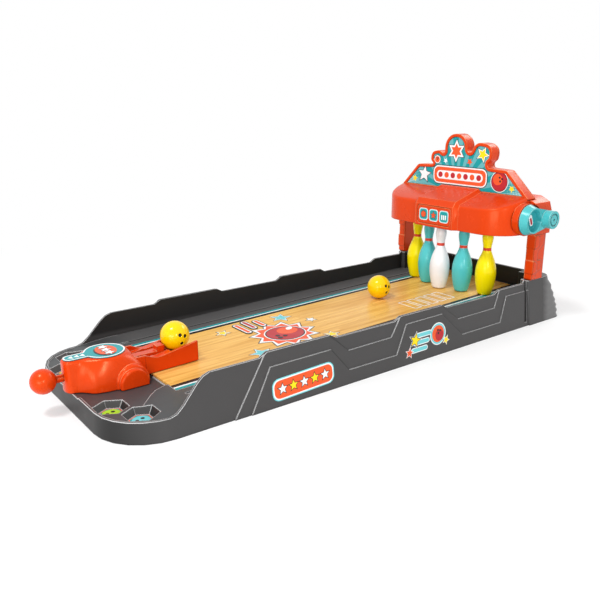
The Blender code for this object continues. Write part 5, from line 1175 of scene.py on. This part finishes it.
# Each lamp's name, its place, what it points at and its two sides
LAMPS = (("key", (0.10, -0.72, 1.37), (0, 0, 0.05), (0.26, 0.26)),
         ("side", (1.1, -0.44, 0.45), (0, -0.1, 0.06), (0.16, 0.16)),
         ("fill", (0.55, -0.85, 0.22), (0.02, 0.15, 0.07), (0.5, 0.3)),
         ("back", (-0.14, 1.35, 0.95), (0.04, 0.18, 0.12), (0.7, 0.5)))
WHITE = (1, 1, 1, 1)

# The camera that was fitted to the photo: its place, and its angles in degrees
CAMERA_PLACE = (0.45203, -0.36451, 0.21112)
CAMERA_AZIMUTH = 52.749
CAMERA_ELEVATION = 16.429
CAMERA_ROLL = -0.272


def shown_rays(tree):
    """One on rays from the camera and on those reflected or let through, else nothing."""
    rays = add_node(tree, "ShaderNodeLightPath").outputs
    seen, glossy, through = [Wire(tree, rays[kind]) for kind in (
        "Is Camera Ray", "Is Glossy Ray", "Is Transmission Ray")]
    return seen.run("MAXIMUM", glossy.run("MAXIMUM", through))


def make_world():
    """Even white light, and plain white where it is seen."""
    world = bpy.data.worlds.new("studio")
    bpy.context.scene.world = world
    world.use_nodes = True
    tree = world.node_tree
    tree.nodes.clear()
    soft, plain = [wire(tree, "ShaderNodeBackground", {0: WHITE, 1: power})
                   for power in (light().world, 1.0)]
    mix = wire(tree, "ShaderNodeMixShader", {0: shown_rays(tree), 1: soft, 2: plain})
    add_node(tree, "ShaderNodeOutputWorld", {0: mix})


def make_floor():
    """A white floor that takes shadows near the object and fades into the white beyond."""
    material = bpy.data.materials.new("floor_white")
    material.use_nodes = True
    tree = material.node_tree
    shader = tree.nodes["Principled BSDF"]
    shader.inputs["Base Color"].default_value = (0.93, 0.93, 0.93, 1)
    shader.inputs["Roughness"].default_value = 0.7
    place = wire(tree, "ShaderNodeTexCoord", output="Object")
    away = wire(tree, "ShaderNodeVectorMath", {0: place}, "Value", operation="LENGTH")
    share = away.spread(0.3, 0.6, 0.35, 1.0) * shown_rays(tree)
    white = wire(tree, "ShaderNodeEmission", {0: WHITE, 1: 1.0})
    mix = wire(tree, "ShaderNodeMixShader", {0: share, 1: shader.outputs[0], 2: white})
    tree.links.new(mix.socket, tree.nodes["Material Output"].inputs[0])
    bm = bmesh.new()
    bmesh.ops.create_circle(bm, cap_ends=True, segments=96, radius=6.0)
    floor = linked("floor", mesh_from(bm, "floor"))
    floor.data.materials.append(material)


def make_stage():
    scene = bpy.context.scene
    scene.view_settings.view_transform = "Standard"
    make_world()
    make_floor()
    for name, spot, target, sides in LAMPS:
        lamp = bpy.data.lights.new(name + "_softbox", "AREA")
        lamp.shape = "RECTANGLE"
        lamp.size, lamp.size_y = sides
        lamp.energy = getattr(light(), name)
        obj = linked(name + "_softbox", lamp)
        obj.location = spot
        obj.rotation_euler = (Vector(target) - Vector(spot)).to_track_quat("-Z", "Y").to_euler()
    camera = bpy.data.cameras.new("photo_view")
    camera.sensor_width = 36
    camera.lens = light().lens
    camera.clip_start = 0.01
    view = linked("photo_view", camera)
    turn = (Matrix.Rotation(math.radians(CAMERA_AZIMUTH), 4, "Z")
            @ Matrix.Rotation(math.radians(90 - CAMERA_ELEVATION), 4, "X")
            @ Matrix.Rotation(math.radians(CAMERA_ROLL), 4, "Z"))
    view.matrix_world = Matrix.Translation(CAMERA_PLACE) @ turn
    scene.camera = view


# Operators


class BOWLING_OT_stage(bpy.types.Operator):
    """Sets the white floor, the soft light and the photo's camera"""
    bl_idname = "bowling.stage"
    bl_label = "Stage"

    def execute(self, context):
        make_stage()
        return {"FINISHED"}


class BOWLING_OT_plastics(bpy.types.Operator):
    """Gives every CAD node its finish and its soft sides"""
    bl_idname = "bowling.plastics"
    bl_label = "Plastics"

    def execute(self, context):
        finish_nodes()
        return {"FINISHED"}


class BOWLING_OT_pins(bpy.types.Operator):
    """Turns five pins with printed neck bands"""
    bl_idname = "bowling.pins"
    bl_label = "Pins"

    def execute(self, context):
        make_pins()
        return {"FINISHED"}


class BOWLING_OT_balls(bpy.types.Operator):
    """Makes two polished balls with finger holes"""
    bl_idname = "bowling.balls"
    bl_label = "Balls"

    def execute(self, context):
        make_balls()
        return {"FINISHED"}


class BOWLING_OT_spring(bpy.types.Operator):
    """Winds the launch spring's wire"""
    bl_idname = "bowling.spring"
    bl_label = "Spring"

    def execute(self, context):
        make_spring()
        return {"FINISHED"}


class BOWLING_OT_knob(bpy.types.Operator):
    """Turns the plunger's round knob"""
    bl_idname = "bowling.knob"
    bl_label = "Knob"

    def execute(self, context):
        make_knob()
        return {"FINISHED"}


class BOWLING_OT_launcher(bpy.types.Operator):
    """Makes the launcher's swollen body and its chute"""
    bl_idname = "bowling.launcher"
    bl_label = "Launcher"

    def execute(self, context):
        make_launcher()
        return {"FINISHED"}


class BOWLING_OT_lane_print(bpy.types.Operator):
    """Prints the shapes on the lane"""
    bl_idname = "bowling.lane_print"
    bl_label = "Lane print"

    def execute(self, context):
        make_lane_print()
        return {"FINISHED"}


class BOWLING_OT_wall_prints(bpy.types.Operator):
    """Prints the labels on the tray's outer walls"""
    bl_idname = "bowling.wall_prints"
    bl_label = "Wall labels"

    def execute(self, context):
        make_wall_prints()
        return {"FINISHED"}


class BOWLING_OT_pocket_prints(bpy.types.Operator):
    """Prints the labels in the ball pockets"""
    bl_idname = "bowling.pocket_prints"
    bl_label = "Pocket labels"

    def execute(self, context):
        make_pocket_prints()
        return {"FINISHED"}


class BOWLING_OT_sign_print(bpy.types.Operator):
    """Prints the shapes on the sign"""
    bl_idname = "bowling.sign_print"
    bl_label = "Sign print"

    def execute(self, context):
        make_sign_print()
        return {"FINISHED"}


class BOWLING_OT_icon_print(bpy.types.Operator):
    """Prints the three tiles on the header"""
    bl_idname = "bowling.icon_print"
    bl_label = "Icon print"

    def execute(self, context):
        make_icon_print()
        return {"FINISHED"}


class BOWLING_OT_launcher_print(bpy.types.Operator):
    """Prints the shapes on the launcher's label"""
    bl_idname = "bowling.launcher_print"
    bl_label = "Launcher label"

    def execute(self, context):
        make_launcher_print()
        return {"FINISHED"}


class BOWLING_OT_crank_mark(bpy.types.Operator):
    """Prints the mark in the crank's cup"""
    bl_idname = "bowling.crank_mark"
    bl_label = "Crank mark"

    def execute(self, context):
        make_crank_mark()
        return {"FINISHED"}


OPERATORS = (
    BOWLING_OT_stage,
    BOWLING_OT_plastics,
    BOWLING_OT_pins,
    BOWLING_OT_balls,
    BOWLING_OT_spring,
    BOWLING_OT_knob,
    BOWLING_OT_launcher,
    BOWLING_OT_lane_print,
    BOWLING_OT_wall_prints,
    BOWLING_OT_pocket_prints,
    BOWLING_OT_sign_print,
    BOWLING_OT_icon_print,
    BOWLING_OT_launcher_print,
    BOWLING_OT_crank_mark,
)


class BOWLING_PT_panel(bpy.types.Panel):
    """Lists the sizes, the colours and the steps that build the looks"""
    bl_idname = "BOWLING_PT_panel"
    bl_label = "Tabletop bowling game"
    bl_space_type = "VIEW_3D"
    bl_region_type = "UI"
    bl_category = "Bowling"

    def draw(self, context):
        for group in (context.scene.bowling_sizes, context.scene.bowling_colours,
                      context.scene.bowling_light):
            box = self.layout.box()
            for key in group.__annotations__:
                box.prop(group, key)
        for made in OPERATORS:
            self.layout.operator(made.bl_idname)


GROUPS = (("bowling_sizes", BowlingSizes), ("bowling_colours", BowlingColours),
          ("bowling_light", BowlingLight))


def register():
    for key, group in GROUPS:
        bpy.utils.register_class(group)
        setattr(bpy.types.Scene, key, PointerProperty(type=group))
    for made in OPERATORS + (BOWLING_PT_panel,):
        bpy.utils.register_class(made)


def unregister():
    for made in reversed(OPERATORS + (BOWLING_PT_panel,)):
        bpy.utils.unregister_class(made)
    for key, group in reversed(GROUPS):
        delattr(bpy.types.Scene, key)
        bpy.utils.unregister_class(group)


def main():
    register()
    FINISHES.update(make_palette())
    for made in OPERATORS:
        getattr(bpy.ops.bowling, made.bl_idname.split(".")[1])()
    bpy.context.view_layer.update()


if __name__ == "__main__":
    main()
